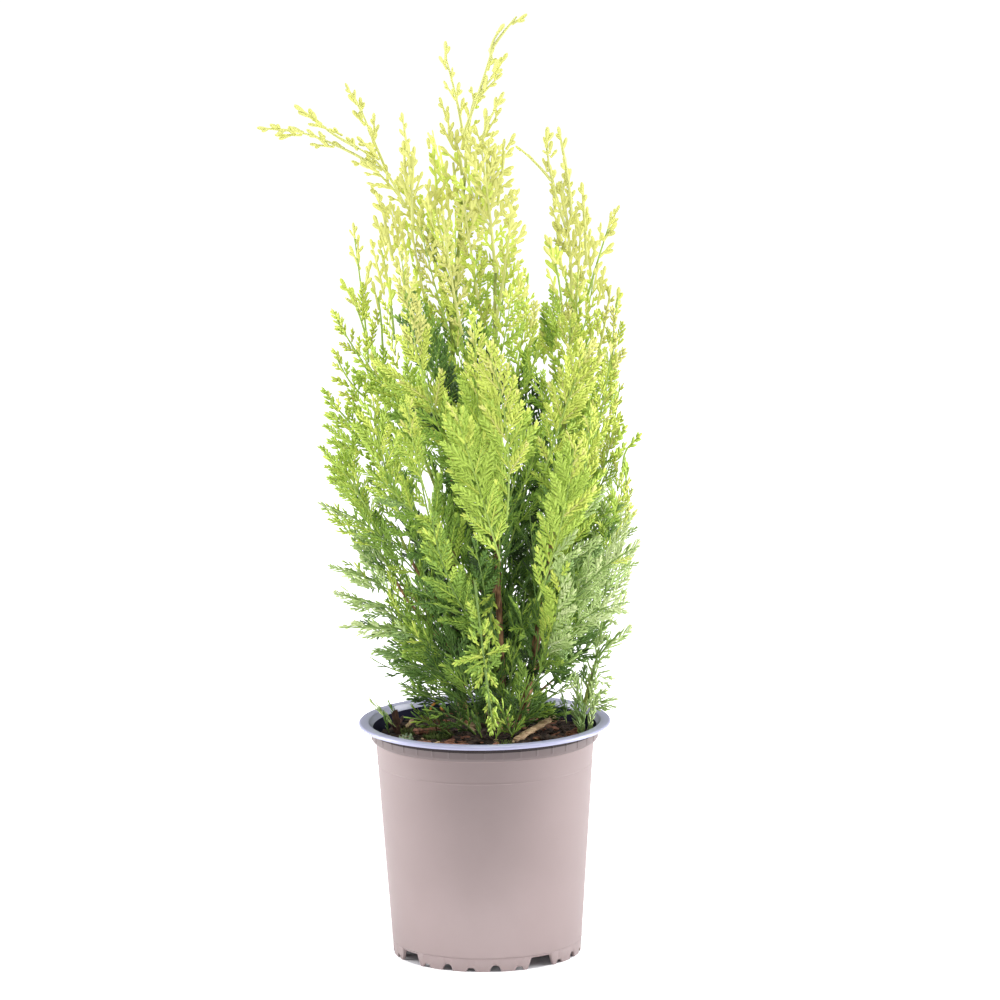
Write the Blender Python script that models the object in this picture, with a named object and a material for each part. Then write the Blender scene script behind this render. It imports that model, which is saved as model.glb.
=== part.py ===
"""A young Lawson cypress in its plastic nursery pot, in metres, standing on the plane z = 0.

The pot's axis is the Z axis, and the front of the plant faces -Y. Stems rise from bark compost. Boughs leave
them steeply, and each ends in a frond: a thin twig that carries flat toothed sprays of scale leaves.
"""

import math
import random
from collections import namedtuple

import bmesh
import bpy
from mathutils import Matrix, Vector
from mathutils.bvhtree import BVHTree

MM = 0.001
GAP = 0.3 * MM
WELD = 0.01 * MM
UP = Vector((0, 0, 1))

# The pot: heights above the ground and outer radii
POT_HEIGHT = 178 * MM
LIP_RADIUS = 95 * MM
LIP_INNER_RADIUS = 87 * MM
LIP_DEPTH = 3.2 * MM
LIP_ROUND = 1.1 * MM
NECK_RADIUS = 85.4 * MM
NECK_FOOT = 165.5 * MM
BODY_TOP_RADIUS = 82.2 * MM
BODY_TOP = 163 * MM
FOOT_RADIUS = 70.9 * MM
WALL = 1.5 * MM
FOOT_WALL = 2.2 * MM
FLOOR_UNDERSIDE = 9.5 * MM
FLOOR_TOP = 11.5 * MM
HUB_RADIUS = 15 * MM
POT_SEGMENTS = 40

# The notches in the foot repeat every quarter turn. Angles are in degrees from the front towards +X.
SLOT_ANGLE = 35
SLOT_WIDTH, SLOT_TOP_WIDTH, SLOT_HEIGHT = 24 * MM, 17 * MM, 8.6 * MM
NOTCH_STEP = 15
FLAT_NOTCH = (7.5 * MM, 4 * MM, 2.9 * MM)
ARCH_NOTCH = (8.0 * MM, 4.2 * MM, 5.0 * MM)

# The compost, whose middle is flat where the stems stand
SOIL_HEIGHT = 169 * MM
SOIL_FLAT_RADIUS = 74 * MM
SOIL_EDGE_DROP = 4 * MM

# Limbs
STEM_SIDES, STEM_RINGS = 8, 9
FLARE_RINGS = (4 * MM, 12 * MM)
BOUGH_SIDES = 5
LIMB_RING_SPACING = 32 * MM
STEM_FLARE, FLARE_HEIGHT = 0.7, 9 * MM
BOUGH_ROOT_RADIUS, BOUGH_TIP_RADIUS = 1.9 * MM, 1.1 * MM
TWIG_ROOT_RADIUS, TWIG_TIP_RADIUS = 1.35 * MM, 0.6 * MM
TWIG_SIDES = 3
START_STEP, FARTHEST_START = 0.4 * MM, 25 * MM
SHORTEST_LIMB = 0.05

# Sprays: toothed blades in two ranks along a twig
SPRAY_SPACING = 20 * MM
SPRAY_TEETH = 3
SPRAY_SHAPE, SPRAY_FULLNESS, SPRAY_LEAST = 0.17, 0.9, 0.3
SPRAY_THICKNESS, SPRAY_THINNING = 1.4 * MM, 0.5
SPRAY_BREADTH = 0.25
SPRAY_SAG = 0.05
SPRAY_NECK, SPRAY_TIP = 0.1, 0.75
TOOTH_REACH, TOOTH_ROOT, TOOTH_STAGGER = 0.1, 0.34, 0.1
SPRAY_ANGLE_LOW, SPRAY_ANGLE_HIGH = 44, 27
END_SPRAY = 42 * MM
END_SPRAY_SHOWN = 0.7
ROOT_CLEAR = 3 * MM

# How long sprays are along the leafy way, as shares of the frond's breadth: the first and last phase of a half
# wave, its height, and the least length
SPRAY_WAVE = (0.28, 0.90, 1.25, 0.12)

# How sprays differ: angles in degrees either way, and a share of their length
SPREAD_RANGE, ROLL_RANGE, LENGTH_RANGE = 6, 14, 0.1

# A spray that doesn't fit is tried again, each time shorter, closer to its twig and more freely rolled
SPRAY_TRIES = 9
TRY_SHORTER, TRY_CLOSER, TRY_ROLL = 0.06, 0.04, 0.5
SPRAY_CLEARANCE = 0.5 * MM
SEED = 41

Stem = namedtuple("Stem", "name foot tip bow foot_radius tip_radius")
Frond = namedtuple("Frond", "name stem leaves tip breadth bare facing out rise")

# Places in millimetres. A stem bows sideways by (x, y) at half its height.
STEMS = (
    Stem("stem_left", (-15, 24), (-9, 3, 598), (-11, -3), 3.4, 1.2),
    Stem("stem_centre", (15, 1), (12, -11, 520), (-3, -4), 3.1, 1.3),
    Stem("stem_right", (27, 8), (69, 3, 492), (6, -5), 3.6, 1.3),
    Stem("stem_small", (72, -6), (81, -4, 212), (-1, 0), 1.7, 1.1),
)

# A frond leaves its stem at a height, or goes on from the stem's tip at height None. bare is the leafless share of
# its way, which is a bough where it is long. facing turns its flat side, in degrees from the front towards +X.
# out and rise place the bend of its way, as shares of the sideways and the upward distance.
FRONDS = (
    Frond("leader", "stem_left", None, (35, -2, 711), 24, 0, 0, 0.02, 0.62),
    Frond("leader_left", "stem_left", 560, (-24, 8, 692), 18, 0.10, 25, 0.75, 0.35),
    Frond("crest_right", "stem_left", 535, (18, -10, 655), 20, 0.15, -30, 0.75, 0.35),
    Frond("crest_left", "stem_left", 505, (-38, 14, 620), 22, 0.15, 20, 0.75, 0.40),
    Frond("arch", "stem_left", 470, (-163, 2, 629), 34, 0.30, 0, 0.16, 0.96),
    Frond("arch_upper", "stem_left", 500, (-98, 12, 662), 26, 0.30, -15, 0.42, 0.55),
    Frond("spear", "stem_left", 430, (-57, -14, 641), 18, 0.35, 70, 0.85, 0.40),
    Frond("gold", "stem_centre", None, (0, -14, 632), 30, 0, 5, 0.30, 0.50),
    Frond("gold_right", "stem_centre", 480, (27, -24, 622), 24, 0.15, -20, 0.85, 0.40),
    Frond("right_leader", "stem_right", None, (52, 2, 628), 24, 0, 10, 0.02, 0.60),
    Frond("right_spear", "stem_right", 455, (77, 14, 588), 20, 0.20, 35, 0.90, 0.40),
    Frond("right_outer", "stem_right", 385, (104, 4, 568), 24, 0.28, -10, 0.85, 0.35),
    Frond("right_inner", "stem_right", 410, (46, -12, 547), 24, 0.20, -25, 0.80, 0.40),
    Frond("right_edge", "stem_right", 325, (102, -8, 507), 26, 0.28, 35, 0.88, 0.35),
    Frond("right_middle", "stem_right", 285, (107, 16, 460), 30, 0.25, -45, 0.86, 0.30),
    Frond("right_side", "stem_right", 245, (117, -4, 396), 31, 0.25, 22, 0.66, 0.25),
    Frond("right_low", "stem_right", 215, (113, 14, 332), 32, 0.25, -45, 0.66, 0.32),
    Frond("right_skirt", "stem_right", 190, (103, 22, 262), 28, 0.22, 30, 0.65, 0.45),
    Frond("small_frond", "stem_small", None, (107, -8, 252), 24, 0, -15, 0.20, 0.65),
    Frond("left_plume", "stem_left", 250, (-95, 6, 556), 36, 0.36, 5, 0.95, 0.22),
    Frond("left_upper", "stem_left", 330, (-76, 30, 566), 26, 0.30, -40, 0.85, 0.35),
    Frond("left_edge", "stem_left", 225, (-113, -16, 492), 34, 0.32, -20, 0.90, 0.28),
    Frond("left_middle", "stem_left", 240, (-115, 24, 437), 33, 0.28, 45, 0.85, 0.28),
    Frond("left_side", "stem_left", 205, (-119, -8, 391), 34, 0.26, -5, 0.75, 0.30),
    Frond("left_low", "stem_left", 200, (-123, 16, 343), 32, 0.24, 40, 0.62, 0.38),
    Frond("left_skirt", "stem_left", 192, (-117, -6, 297), 28, 0.22, -20, 0.58, 0.50),
    Frond("left_hem", "stem_left", 184, (-109, 14, 248), 24, 0.20, 15, 0.52, 0.66),
    Frond("front_upper", "stem_centre", 340, (-58, -42, 546), 32, 0.28, -12, 0.85, 0.32),
    Frond("front_left", "stem_centre", 265, (-55, -58, 438), 34, 0.26, 25, 0.85, 0.32),
    Frond("front_middle", "stem_centre", 300, (-4, -56, 502), 34, 0.24, -5, 0.90, 0.30),
    Frond("front_right", "stem_right", 260, (82, -48, 428), 34, 0.26, 15, 0.85, 0.30),
    Frond("front_small", "stem_centre", 232, (-38, -72, 352), 28, 0.24, -10, 0.80, 0.35),
    Frond("front_hanging", "stem_centre", 290, (3, -63, 186), 22, 0.20, 10, 1.05, 0.10),
    Frond("front_hem", "stem_right", 205, (60, -74, 318), 30, 0.24, -20, 0.80, 0.35),
    Frond("back_upper", "stem_centre", 385, (40, 52, 560), 32, 0.24, 160, 0.85, 0.32),
    Frond("back_left", "stem_left", 270, (-58, 78, 468), 36, 0.26, 145, 0.85, 0.32),
    Frond("back_middle", "stem_centre", 255, (8, 88, 430), 38, 0.26, 100, 0.85, 0.32),
    Frond("back_right", "stem_right", 270, (82, 72, 452), 36, 0.26, 205, 0.85, 0.32),
    Frond("back_hem_left", "stem_left", 200, (-42, 92, 318), 32, 0.24, 120, 0.80, 0.35),
    Frond("back_hem_right", "stem_right", 205, (50, 90, 322), 32, 0.24, 215, 0.80, 0.35),
)
BOUGH_SHARE = 0.28
NUDGES = ((0, 0), (6, 0), (-6, 0), (0, 7), (0, -7), (9, 9), (-9, 9), (-9, -9), (9, -9), (16, 0), (-16, 0), (0, -18))

# Pieces of bark on the compost: name, middle (x, y), length, width, thickness, heading in degrees, tilt
CHIP_UNEVENNESS = 0.35
CHIPS = (
    ("bark_stick", (38, -18), 62, 7, 4.5, 58, 7),
    ("bark_chip_left", (-42, -8), 24, 13, 5, 20, 0),
    ("bark_chip_back", (6, 52), 26, 12, 5, -35, 0),
)

COLOURS = {
    "pot_plastic": ((0.36, 0.30, 0.29), 0.45),
    "compost": ((0.045, 0.028, 0.020), 0.95),
    "bark": ((0.20, 0.10, 0.06), 0.85),
    "bark_chip": ((0.30, 0.19, 0.11), 0.9),
    "leaf_gold": ((0.55, 0.62, 0.08), 0.6),
    "leaf_lime": ((0.30, 0.48, 0.05), 0.6),
    "leaf_green": ((0.10, 0.24, 0.04), 0.6),
}
GOLD_FROM, LIME_FROM = 520 * MM, 380 * MM


def material(name):
    """The named material, made once."""
    found = bpy.data.materials.get(name)
    if found:
        return found
    colour, roughness = COLOURS[name]
    made = bpy.data.materials.new(name)
    made.use_nodes = True
    shader = made.node_tree.nodes["Principled BSDF"]
    shader.inputs["Base Color"].default_value = (*colour, 1)
    shader.inputs["Roughness"].default_value = roughness
    return made


def finish_object(name, shape, material_name, smooth_angle=None):
    """Turn a bmesh into a named object with one material."""
    mesh = bpy.data.meshes.new(name)
    shape.to_mesh(mesh)
    shape.free()
    mesh.materials.append(material(material_name))
    if smooth_angle:
        mesh.shade_smooth()
        mesh.set_sharp_from_angle(angle=math.radians(smooth_angle))
    made = bpy.data.objects.new(name, mesh)
    bpy.context.scene.collection.objects.link(made)
    return made


def apply_boolean(target, operation, helpers):
    """Cut or join a collection of helper objects in one Boolean, then remove them."""
    group = bpy.data.collections.new(target.name + "_helpers")
    for helper in helpers:
        group.objects.link(helper)
    modifier = target.modifiers.new(operation.title(), "BOOLEAN")
    modifier.operation = operation
    modifier.operand_type = "COLLECTION"
    modifier.collection = group
    bpy.context.view_layer.update()
    evaluated = target.evaluated_get(bpy.context.evaluated_depsgraph_get())
    joined = bpy.data.meshes.new_from_object(evaluated)
    target.modifiers.clear()
    target.data = joined
    for helper in helpers:
        bpy.data.objects.remove(helper)
    bpy.data.collections.remove(group)


class Path:
    """The centre line of a limb: a quadratic curve from start towards bend to end."""

    def __init__(self, start, bend, end):
        self.start, self.bend, self.end = Vector(start), Vector(bend), Vector(end)
        marks = [self.point(step / 24) for step in range(25)]
        self.length = sum((b - a).length for a, b in zip(marks, marks[1:]))

    def point(self, t):
        return self.start * (1 - t) ** 2 + self.bend * (2 * t * (1 - t)) + self.end * t**2

    def heading(self, t):
        return ((self.bend - self.start) * (1 - t) + (self.end - self.bend) * t).normalized()

    def at_height(self, height):
        """The parameter at which a rising path reaches a height."""
        low, high = 0.0, 1.0
        for _ in range(30):
            middle = (low + high) / 2
            if self.point(middle).z < height:
                low = middle
            else:
                high = middle
        return low


def tube(shape, path, marks, radius_at, sides, level_foot=False):
    """Add a closed tapering tube through the marked places of a path. A level foot is cut flat, to stand on."""
    loops = []
    across = path.heading(marks[0]).orthogonal().normalized()
    for index, t in enumerate(marks):
        heading = UP if level_foot and index == 0 else path.heading(t)
        across = (across - heading * across.dot(heading)).normalized()
        side = heading.cross(across)
        loop = []
        for corner in range(sides):
            angle = math.tau * corner / sides
            outward = across * math.cos(angle) + side * math.sin(angle)
            loop.append(shape.verts.new(path.point(t) + outward * radius_at(t)))
        loops.append(loop)
    for lower, upper in zip(loops, loops[1:]):
        for corner in range(sides):
            after = (corner + 1) % sides
            shape.faces.new((lower[corner], lower[after], upper[after], upper[corner]))
    shape.faces.new(reversed(loops[0]))
    shape.faces.new(loops[-1])


def even_marks(first, last, count):
    return [first + (last - first) * step / count for step in range(count + 1)]


class Obstacles:
    """The surfaces that a new piece has to stay clear of, kept under the names of their nodes."""

    def __init__(self):
        self.trees = {}

    def add(self, name, shape):
        self.trees[name] = BVHTree.FromBMesh(shape)

    def add_object(self, made):
        shape = bmesh.new()
        shape.from_mesh(made.data)
        bmesh.ops.triangulate(shape, faces=shape.faces)
        self.add(made.name, shape)
        shape.free()

    def block(self, shape, own_name=""):
        """Whether a shape crosses any other piece."""
        tree = BVHTree.FromBMesh(shape)
        return any(tree.overlap(other) for name, other in self.trees.items() if name != own_name)


def lathe(name, profile, segments, material_name):
    """Turn an outline of (radius, height) pairs, from axis to axis, about the Z axis."""
    shape = bmesh.new()
    points = [shape.verts.new((radius, 0, height)) for radius, height in profile]
    lines = [shape.edges.new(pair) for pair in zip(points, points[1:])]
    bmesh.ops.spin(
        shape, geom=points + lines, cent=(0, 0, 0), axis=UP, angle=math.tau, steps=segments, use_merge=True
    )
    bmesh.ops.remove_doubles(shape, verts=shape.verts, dist=WELD)
    bmesh.ops.recalc_face_normals(shape, faces=shape.faces)
    return finish_object(name, shape, material_name, smooth_angle=25)


def body_radius(height):
    """The outer radius of the pot's straight taper."""
    return FOOT_RADIUS + (BODY_TOP_RADIUS - FOOT_RADIUS) * height / BODY_TOP


def notch_cutter(angle, foot_width, top_width, height):
    """A wedge that cuts a notch of trapezium outline through the pot's foot ring."""
    inner, outer, below = 60 * MM, 78 * MM, 2 * MM
    slope = (foot_width - top_width) / 2 / height
    low_half = foot_width / 2 + slope * below
    outline = ((-low_half, -below), (low_half, -below), (top_width / 2, height), (-top_width / 2, height))
    shape = bmesh.new()
    near = [shape.verts.new((x, -outer, z)) for x, z in outline]
    far = [shape.verts.new((x, -inner, z)) for x, z in outline]
    shape.faces.new(near)
    shape.faces.new(reversed(far))
    for corner in range(4):
        after = (corner + 1) % 4
        shape.faces.new((near[corner], far[corner], far[after], near[after]))
    bmesh.ops.recalc_face_normals(shape, faces=shape.faces)
    bmesh.ops.rotate(shape, verts=shape.verts, matrix=Matrix.Rotation(math.radians(angle), 3, "Z"))
    return finish_object("notch_cutter", shape, "pot_plastic")


def make_pot():
    """The tapering pot with its rolled lip, its neck band, and a foot ring with drainage slots."""
    lip_under = POT_HEIGHT - LIP_DEPTH
    profile = (
        (0, 0),
        (HUB_RADIUS, 0),
        (HUB_RADIUS + MM, FLOOR_UNDERSIDE),
        (FOOT_RADIUS - FOOT_WALL - MM, FLOOR_UNDERSIDE),
        (FOOT_RADIUS - FOOT_WALL, 0),
        (FOOT_RADIUS - 0.4 * MM, 0),
        (FOOT_RADIUS, MM),
        (BODY_TOP_RADIUS, BODY_TOP),
        (NECK_RADIUS, NECK_FOOT),
        (NECK_RADIUS + 0.4 * MM, lip_under),
        (LIP_RADIUS - LIP_ROUND, lip_under),
        (LIP_RADIUS, lip_under + LIP_ROUND),
        (LIP_RADIUS, POT_HEIGHT - LIP_ROUND),
        (LIP_RADIUS - LIP_ROUND, POT_HEIGHT),
        (LIP_INNER_RADIUS + MM, POT_HEIGHT),
        (LIP_INNER_RADIUS, POT_HEIGHT - 0.5 * MM),
        (NECK_RADIUS + 0.3 * MM - WALL, lip_under - MM),
        (NECK_RADIUS - WALL, NECK_FOOT),
        (BODY_TOP_RADIUS - WALL, BODY_TOP - 1.5 * MM),
        (body_radius(FLOOR_TOP) - WALL, FLOOR_TOP),
        (0, FLOOR_TOP),
    )
    pot = lathe("pot", profile, POT_SEGMENTS, "pot_plastic")
    cutters = []
    for quarter in range(4):
        slot = SLOT_ANGLE + 90 * quarter
        cutters.append(notch_cutter(slot, SLOT_WIDTH, SLOT_TOP_WIDTH, SLOT_HEIGHT))
        for step in range(1, 6):
            sizes = FLAT_NOTCH if step % 2 else ARCH_NOTCH
            cutters.append(notch_cutter(slot - NOTCH_STEP * step, *sizes))
    apply_boolean(pot, "DIFFERENCE", cutters)
    pot.data.shade_smooth()
    pot.data.set_sharp_from_angle(angle=math.radians(25))
    return pot


def make_compost():
    """The compost that fills the pot, a little clear of its wall."""
    bottom = FLOOR_TOP + GAP
    edge = SOIL_HEIGHT - SOIL_EDGE_DROP
    clear = WALL + 1.6 * GAP
    profile = (
        (0, bottom),
        (body_radius(bottom) - clear - GAP, bottom),
        (BODY_TOP_RADIUS - clear, BODY_TOP - 2 * MM),
        (BODY_TOP_RADIUS - clear, edge),
        (SOIL_FLAT_RADIUS, SOIL_HEIGHT),
        (0, SOIL_HEIGHT),
    )
    return lathe("compost", profile, POT_SEGMENTS // 2, "compost")


def stem_path(stem):
    foot = Vector((*stem.foot, 0)) * MM
    foot.z = SOIL_HEIGHT + GAP
    tip = Vector(stem.tip) * MM
    bow = Vector((*stem.bow, 0)) * MM
    return Path(foot, (foot + tip) / 2 + bow * 2, tip)


def stem_radius(stem, path, t):
    """True taper from foot to tip, with a flare just above the compost."""
    height = path.point(t).z - path.start.z
    taper = stem.foot_radius + (stem.tip_radius - stem.foot_radius) * t
    return (taper + STEM_FLARE * stem.foot_radius * math.exp(-height / FLARE_HEIGHT)) * MM


def make_stem(stem, path):
    """One whole stem, from its flat cut on the compost to where its topmost frond begins."""
    shape = bmesh.new()
    low, high = (height / path.length for height in FLARE_RINGS)
    marks = [0, low] + even_marks(high, 1, STEM_RINGS)
    tube(shape, path, marks, lambda t: stem_radius(stem, path, t), STEM_SIDES, level_foot=True)
    return finish_object(stem.name, shape, "bark", smooth_angle=50)


def has_bough(frond):
    return frond.leaves is not None and frond.bare >= BOUGH_SHARE


def frond_path(frond, stems, nudge):
    """The way of a frond from its stem to its tip, with its bend moved by a nudge."""
    stem = stems[frond.stem]
    tip = Vector(frond.tip) * MM
    if frond.leaves is None:
        start = stem.end + stem.heading(1) * GAP
    else:
        start = stem.point(stem.at_height(frond.leaves * MM))
    bend = start.lerp(tip, frond.out)
    bend.z = start.z + (tip.z - start.z) * frond.rise
    return Path(start, bend + Vector((*nudge, 0)) * MM, tip)


def bough_radius(t, last):
    return BOUGH_ROOT_RADIUS + (BOUGH_TIP_RADIUS - BOUGH_ROOT_RADIUS) * t / last


def twig_radius(t):
    return TWIG_ROOT_RADIUS + (TWIG_TIP_RADIUS - TWIG_ROOT_RADIUS) * t


def limb_marks(path, first, last):
    """Where a limb's rings stand: one every few centimetres."""
    return even_marks(first, last, max(2, round((last - first) * path.length / LIMB_RING_SPACING)))


def limb_shape(path, first, last, radius_at, sides, extra=0.0):
    """A bough or twig along a stretch of a path, made thicker by extra."""
    shape = bmesh.new()
    tube(shape, path, limb_marks(path, first, last), lambda t: radius_at(t) + extra, sides)
    return shape


def limb_middle(path, first, last, t):
    """The middle of a limb's straight stretch between two rings, where a spray takes root."""
    marks = limb_marks(path, first, last)
    index = min(int((t - first) / (last - first) * (len(marks) - 1)), len(marks) - 2)
    low, high = marks[index], marks[index + 1]
    return path.point(low).lerp(path.point(high), (t - low) / (high - low))


def clear_start(path, last, radius_at, sides, obstacles):
    """The first parameter from which a limb stands clear of what carries it, or None."""
    first = 0.0
    while first < last - SHORTEST_LIMB:
        shape = limb_shape(path, first, last, radius_at, sides, extra=GAP)
        blocked = obstacles.block(shape)
        shape.free()
        if not blocked:
            return first
        first += START_STEP / path.length
        if first * path.length > FARTHEST_START:
            return None
    return None


def lay_limbs(frond, stems, obstacles):
    """Find a clear way for a frond, make its bough, and give its path with where its twig begins and ends."""
    for nudge in NUDGES:
        path = frond_path(frond, stems, nudge)
        twig_last = 1 - END_SPRAY * END_SPRAY_SHOWN / path.length
        if not has_bough(frond):
            if frond.leaves is None:
                return path, 0.0, twig_last
            first = clear_start(path, twig_last, twig_radius, TWIG_SIDES, obstacles)
            if first is not None:
                return path, first, twig_last
            continue
        thickness = lambda t: bough_radius(t, frond.bare)
        first = clear_start(path, frond.bare, thickness, BOUGH_SIDES, obstacles)
        twig_first = frond.bare + GAP / path.length
        twig = limb_shape(path, twig_first, twig_last, twig_radius, TWIG_SIDES, extra=GAP)
        blocked = obstacles.block(twig)
        twig.free()
        if first is not None and not blocked:
            shape = limb_shape(path, first, frond.bare, thickness, BOUGH_SIDES)
            obstacles.add_object(finish_object("bough_" + frond.name, shape, "bark", smooth_angle=50))
            return path, twig_first, twig_last
    raise RuntimeError("no clear way for " + frond.name)


def spray_shape(root, heading, face, length, half_width, stagger, grown=0.0):
    """One flat spray: a lance-shaped blade, ridged along its middle, whose teeth point forwards.

    stagger sets the teeth of one side ahead of the other's. A blade that is grown, to test its clearance, is its
    hull, swollen by that much.
    """
    shape = bmesh.new()
    side = heading.cross(face)

    def put(along, across, height):
        sag = SPRAY_SAG * length * along * along
        return shape.verts.new(root + heading * (along * length) + side * across + face * (height - sag))

    def cover(sign, level, *corners):
        shape.faces.new(corners if sign * level < 0 else corners[::-1])

    ends = {True: put(-grown / length, 0, 0), False: put(1 + grown / length, 0, 0)}
    back, rims = {}, {}
    for station in range(SPRAY_TEETH + 1):
        along = SPRAY_NECK + (1 - SPRAY_NECK) * station / (SPRAY_TEETH + SPRAY_TIP)
        swell = math.sin(math.pi * (SPRAY_SHAPE + (1 - SPRAY_SHAPE) * along * SPRAY_FULLNESS))
        wide = half_width * max(swell, SPRAY_LEAST) + grown
        thick = SPRAY_THICKNESS / 2 * (1 - SPRAY_THINNING * along) + grown
        ridges = {level: put(along, 0, level * thick) for level in (1, -1)}
        for sign in (1, -1):
            valley = put(along, sign * (wide * TOOTH_ROOT + grown / 2), 0)
            if station:
                point = put(along + TOOTH_REACH + TOOTH_STAGGER * stagger * sign, sign * wide, 0)
            for level in (1, -1):
                if station:
                    cover(sign, level, back[level], rims[sign], point)
                    cover(sign, level, back[level], point, valley)
                    cover(sign, level, back[level], valley, ridges[level])
                else:
                    cover(sign, level, ends[True], valley, ridges[level])
            rims[sign] = valley
        back = ridges
    for sign in (1, -1):
        for level in (1, -1):
            cover(sign, level, back[level], rims[sign], ends[False])
    if grown:
        bmesh.ops.delete(shape, geom=shape.edges[:], context="EDGES_FACES")
        bmesh.ops.convex_hull(shape, input=shape.verts)
    return shape


def spray_length(frond, along):
    """How long the sprays are at a share of the leafy way: longest below the middle, short at the tip."""
    first, last, height, least = SPRAY_WAVE
    return frond.breadth * MM * (height * math.sin(math.pi * (first + (last - first) * along)) + least)


def grow_sprays(frond, path, first, last, obstacles, dice):
    """The sprays of one frond as loose objects. One that would cross another piece is turned or left out."""
    leafy = first if has_bough(frond) or frond.leaves is None else max(first, frond.bare)
    leafy += ROOT_CLEAR / path.length
    top = last - ROOT_CLEAR / path.length
    count = max(3, round((top - leafy) * path.length / SPRAY_SPACING))
    facing = math.radians(frond.facing)
    normal = Vector((math.sin(facing), -math.cos(facing), 0))
    sprays = []
    for index in range(count + 1):
        along = index / count
        t = leafy + (top - leafy) * along
        heading = path.heading(t)
        face = (normal - heading * normal.dot(heading)).normalized()
        side = heading.cross(face) * (1 if index % 2 else -1)
        root = limb_middle(path, first, last, t)
        for attempt in range(SPRAY_TRIES):
            eager = 1 - TRY_SHORTER * attempt
            if index == count:
                way = (path.end - root).normalized()
                length = (path.end - root).length
            else:
                spread = SPRAY_ANGLE_LOW + (SPRAY_ANGLE_HIGH - SPRAY_ANGLE_LOW) * along
                spread += dice.uniform(-SPREAD_RANGE, SPREAD_RANGE)
                spread = math.radians(spread * (1 - TRY_CLOSER * attempt))
                way = heading * math.cos(spread) + side * math.sin(spread)
                length = spray_length(frond, along) * dice.uniform(1 - LENGTH_RANGE, 1 + LENGTH_RANGE) * eager
            roll = math.radians(dice.uniform(-ROLL_RANGE, ROLL_RANGE) * (1 + TRY_ROLL * attempt))
            turned = Matrix.Rotation(roll, 3, way) @ (face - way * face.dot(way)).normalized()
            sizes = (length, length * SPRAY_BREADTH * eager, dice.uniform(-1, 1))
            test = spray_shape(root, way, turned, *sizes, grown=SPRAY_CLEARANCE)
            blocked = obstacles.block(test, frond.name)
            test.free()
            if not blocked:
                shape = spray_shape(root, way, turned, *sizes)
                sprays.append(finish_object("spray", shape, leaf_colour(frond)))
                break
    return sprays


def leaf_colour(frond):
    height = frond.tip[2] * MM
    if height > GOLD_FROM:
        return "leaf_gold"
    return "leaf_lime" if height > LIME_FROM else "leaf_green"


def make_chip(name, middle, length, width, thickness, heading, tilt, dice):
    """A torn piece of bark: a box with uneven corners, lying on the compost."""
    shape = bmesh.new()
    bmesh.ops.create_cube(shape, size=1)
    for vertex in shape.verts:
        uneven = [1 - CHIP_UNEVENNESS * dice.random() for _ in range(3)]
        vertex.co = Vector((vertex.co.x * length, vertex.co.y * width, vertex.co.z * thickness)) * MM
        vertex.co = Vector(value * share for value, share in zip(vertex.co, uneven))
    turn = Matrix.Rotation(math.radians(heading), 3, "Z") @ Matrix.Rotation(math.radians(-tilt), 3, "Y")
    bmesh.ops.rotate(shape, verts=shape.verts, matrix=turn)
    lift = SOIL_HEIGHT + GAP - min(vertex.co.z for vertex in shape.verts)
    bmesh.ops.translate(shape, verts=shape.verts, vec=(middle[0] * MM, middle[1] * MM, lift))
    bmesh.ops.recalc_face_normals(shape, faces=shape.faces)
    return finish_object(name, shape, "bark_chip")


def main():
    for old in list(bpy.data.objects):
        bpy.data.objects.remove(old)
    dice = random.Random(SEED)
    obstacles = Obstacles()
    for made in (make_pot(), make_compost()):
        obstacles.add_object(made)
    stems = {stem.name: stem_path(stem) for stem in STEMS}
    for stem in STEMS:
        obstacles.add_object(make_stem(stem, stems[stem.name]))
    for chip in CHIPS:
        obstacles.add_object(make_chip(*chip, dice))
    ways = {}
    for frond in FRONDS:
        ways[frond.name] = lay_limbs(frond, stems, obstacles)
        path, first, last = ways[frond.name]
        twig = limb_shape(path, first, last, twig_radius, TWIG_SIDES)
        obstacles.add(frond.name, twig)
        twig.free()
    for frond in FRONDS:
        path, first, last = ways[frond.name]
        sprays = grow_sprays(frond, path, first, last, obstacles, dice)
        twig = limb_shape(path, first, last, twig_radius, TWIG_SIDES)
        mass = finish_object(frond.name, twig, leaf_colour(frond))
        apply_boolean(mass, "UNION", sprays)
        obstacles.add_object(mass)


main()
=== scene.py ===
"""The looks of the potted Lawson cypress: its foliage, bark, compost and moulded pot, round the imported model."""

import math
from collections import namedtuple

import bmesh
import bpy
import numpy as np
from mathutils import Euler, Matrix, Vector, noise


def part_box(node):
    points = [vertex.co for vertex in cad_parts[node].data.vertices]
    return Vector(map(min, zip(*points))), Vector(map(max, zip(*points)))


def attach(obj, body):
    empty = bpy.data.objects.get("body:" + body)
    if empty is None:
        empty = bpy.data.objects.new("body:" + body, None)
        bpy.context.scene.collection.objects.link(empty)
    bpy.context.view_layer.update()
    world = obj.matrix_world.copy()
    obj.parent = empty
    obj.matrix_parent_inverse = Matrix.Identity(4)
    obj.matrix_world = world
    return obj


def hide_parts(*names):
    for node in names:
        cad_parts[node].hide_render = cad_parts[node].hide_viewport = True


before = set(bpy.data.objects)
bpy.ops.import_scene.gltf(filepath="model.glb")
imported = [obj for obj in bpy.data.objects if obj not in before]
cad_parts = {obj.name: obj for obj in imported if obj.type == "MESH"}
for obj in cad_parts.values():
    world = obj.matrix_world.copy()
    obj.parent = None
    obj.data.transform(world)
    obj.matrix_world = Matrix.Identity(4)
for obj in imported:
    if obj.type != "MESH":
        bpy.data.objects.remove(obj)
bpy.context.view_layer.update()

MM = 0.001
SEED = 7
dice = np.random.default_rng(SEED)

# The camera that the photograph's pot and plant were fitted to
CAMERA_PLACE = (0.0135, -5.0, 1.2568)
CAMERA_PITCH_DOWN = 10.321
CAMERA_ROLL = 0.661
LENS = 244.08

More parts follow.
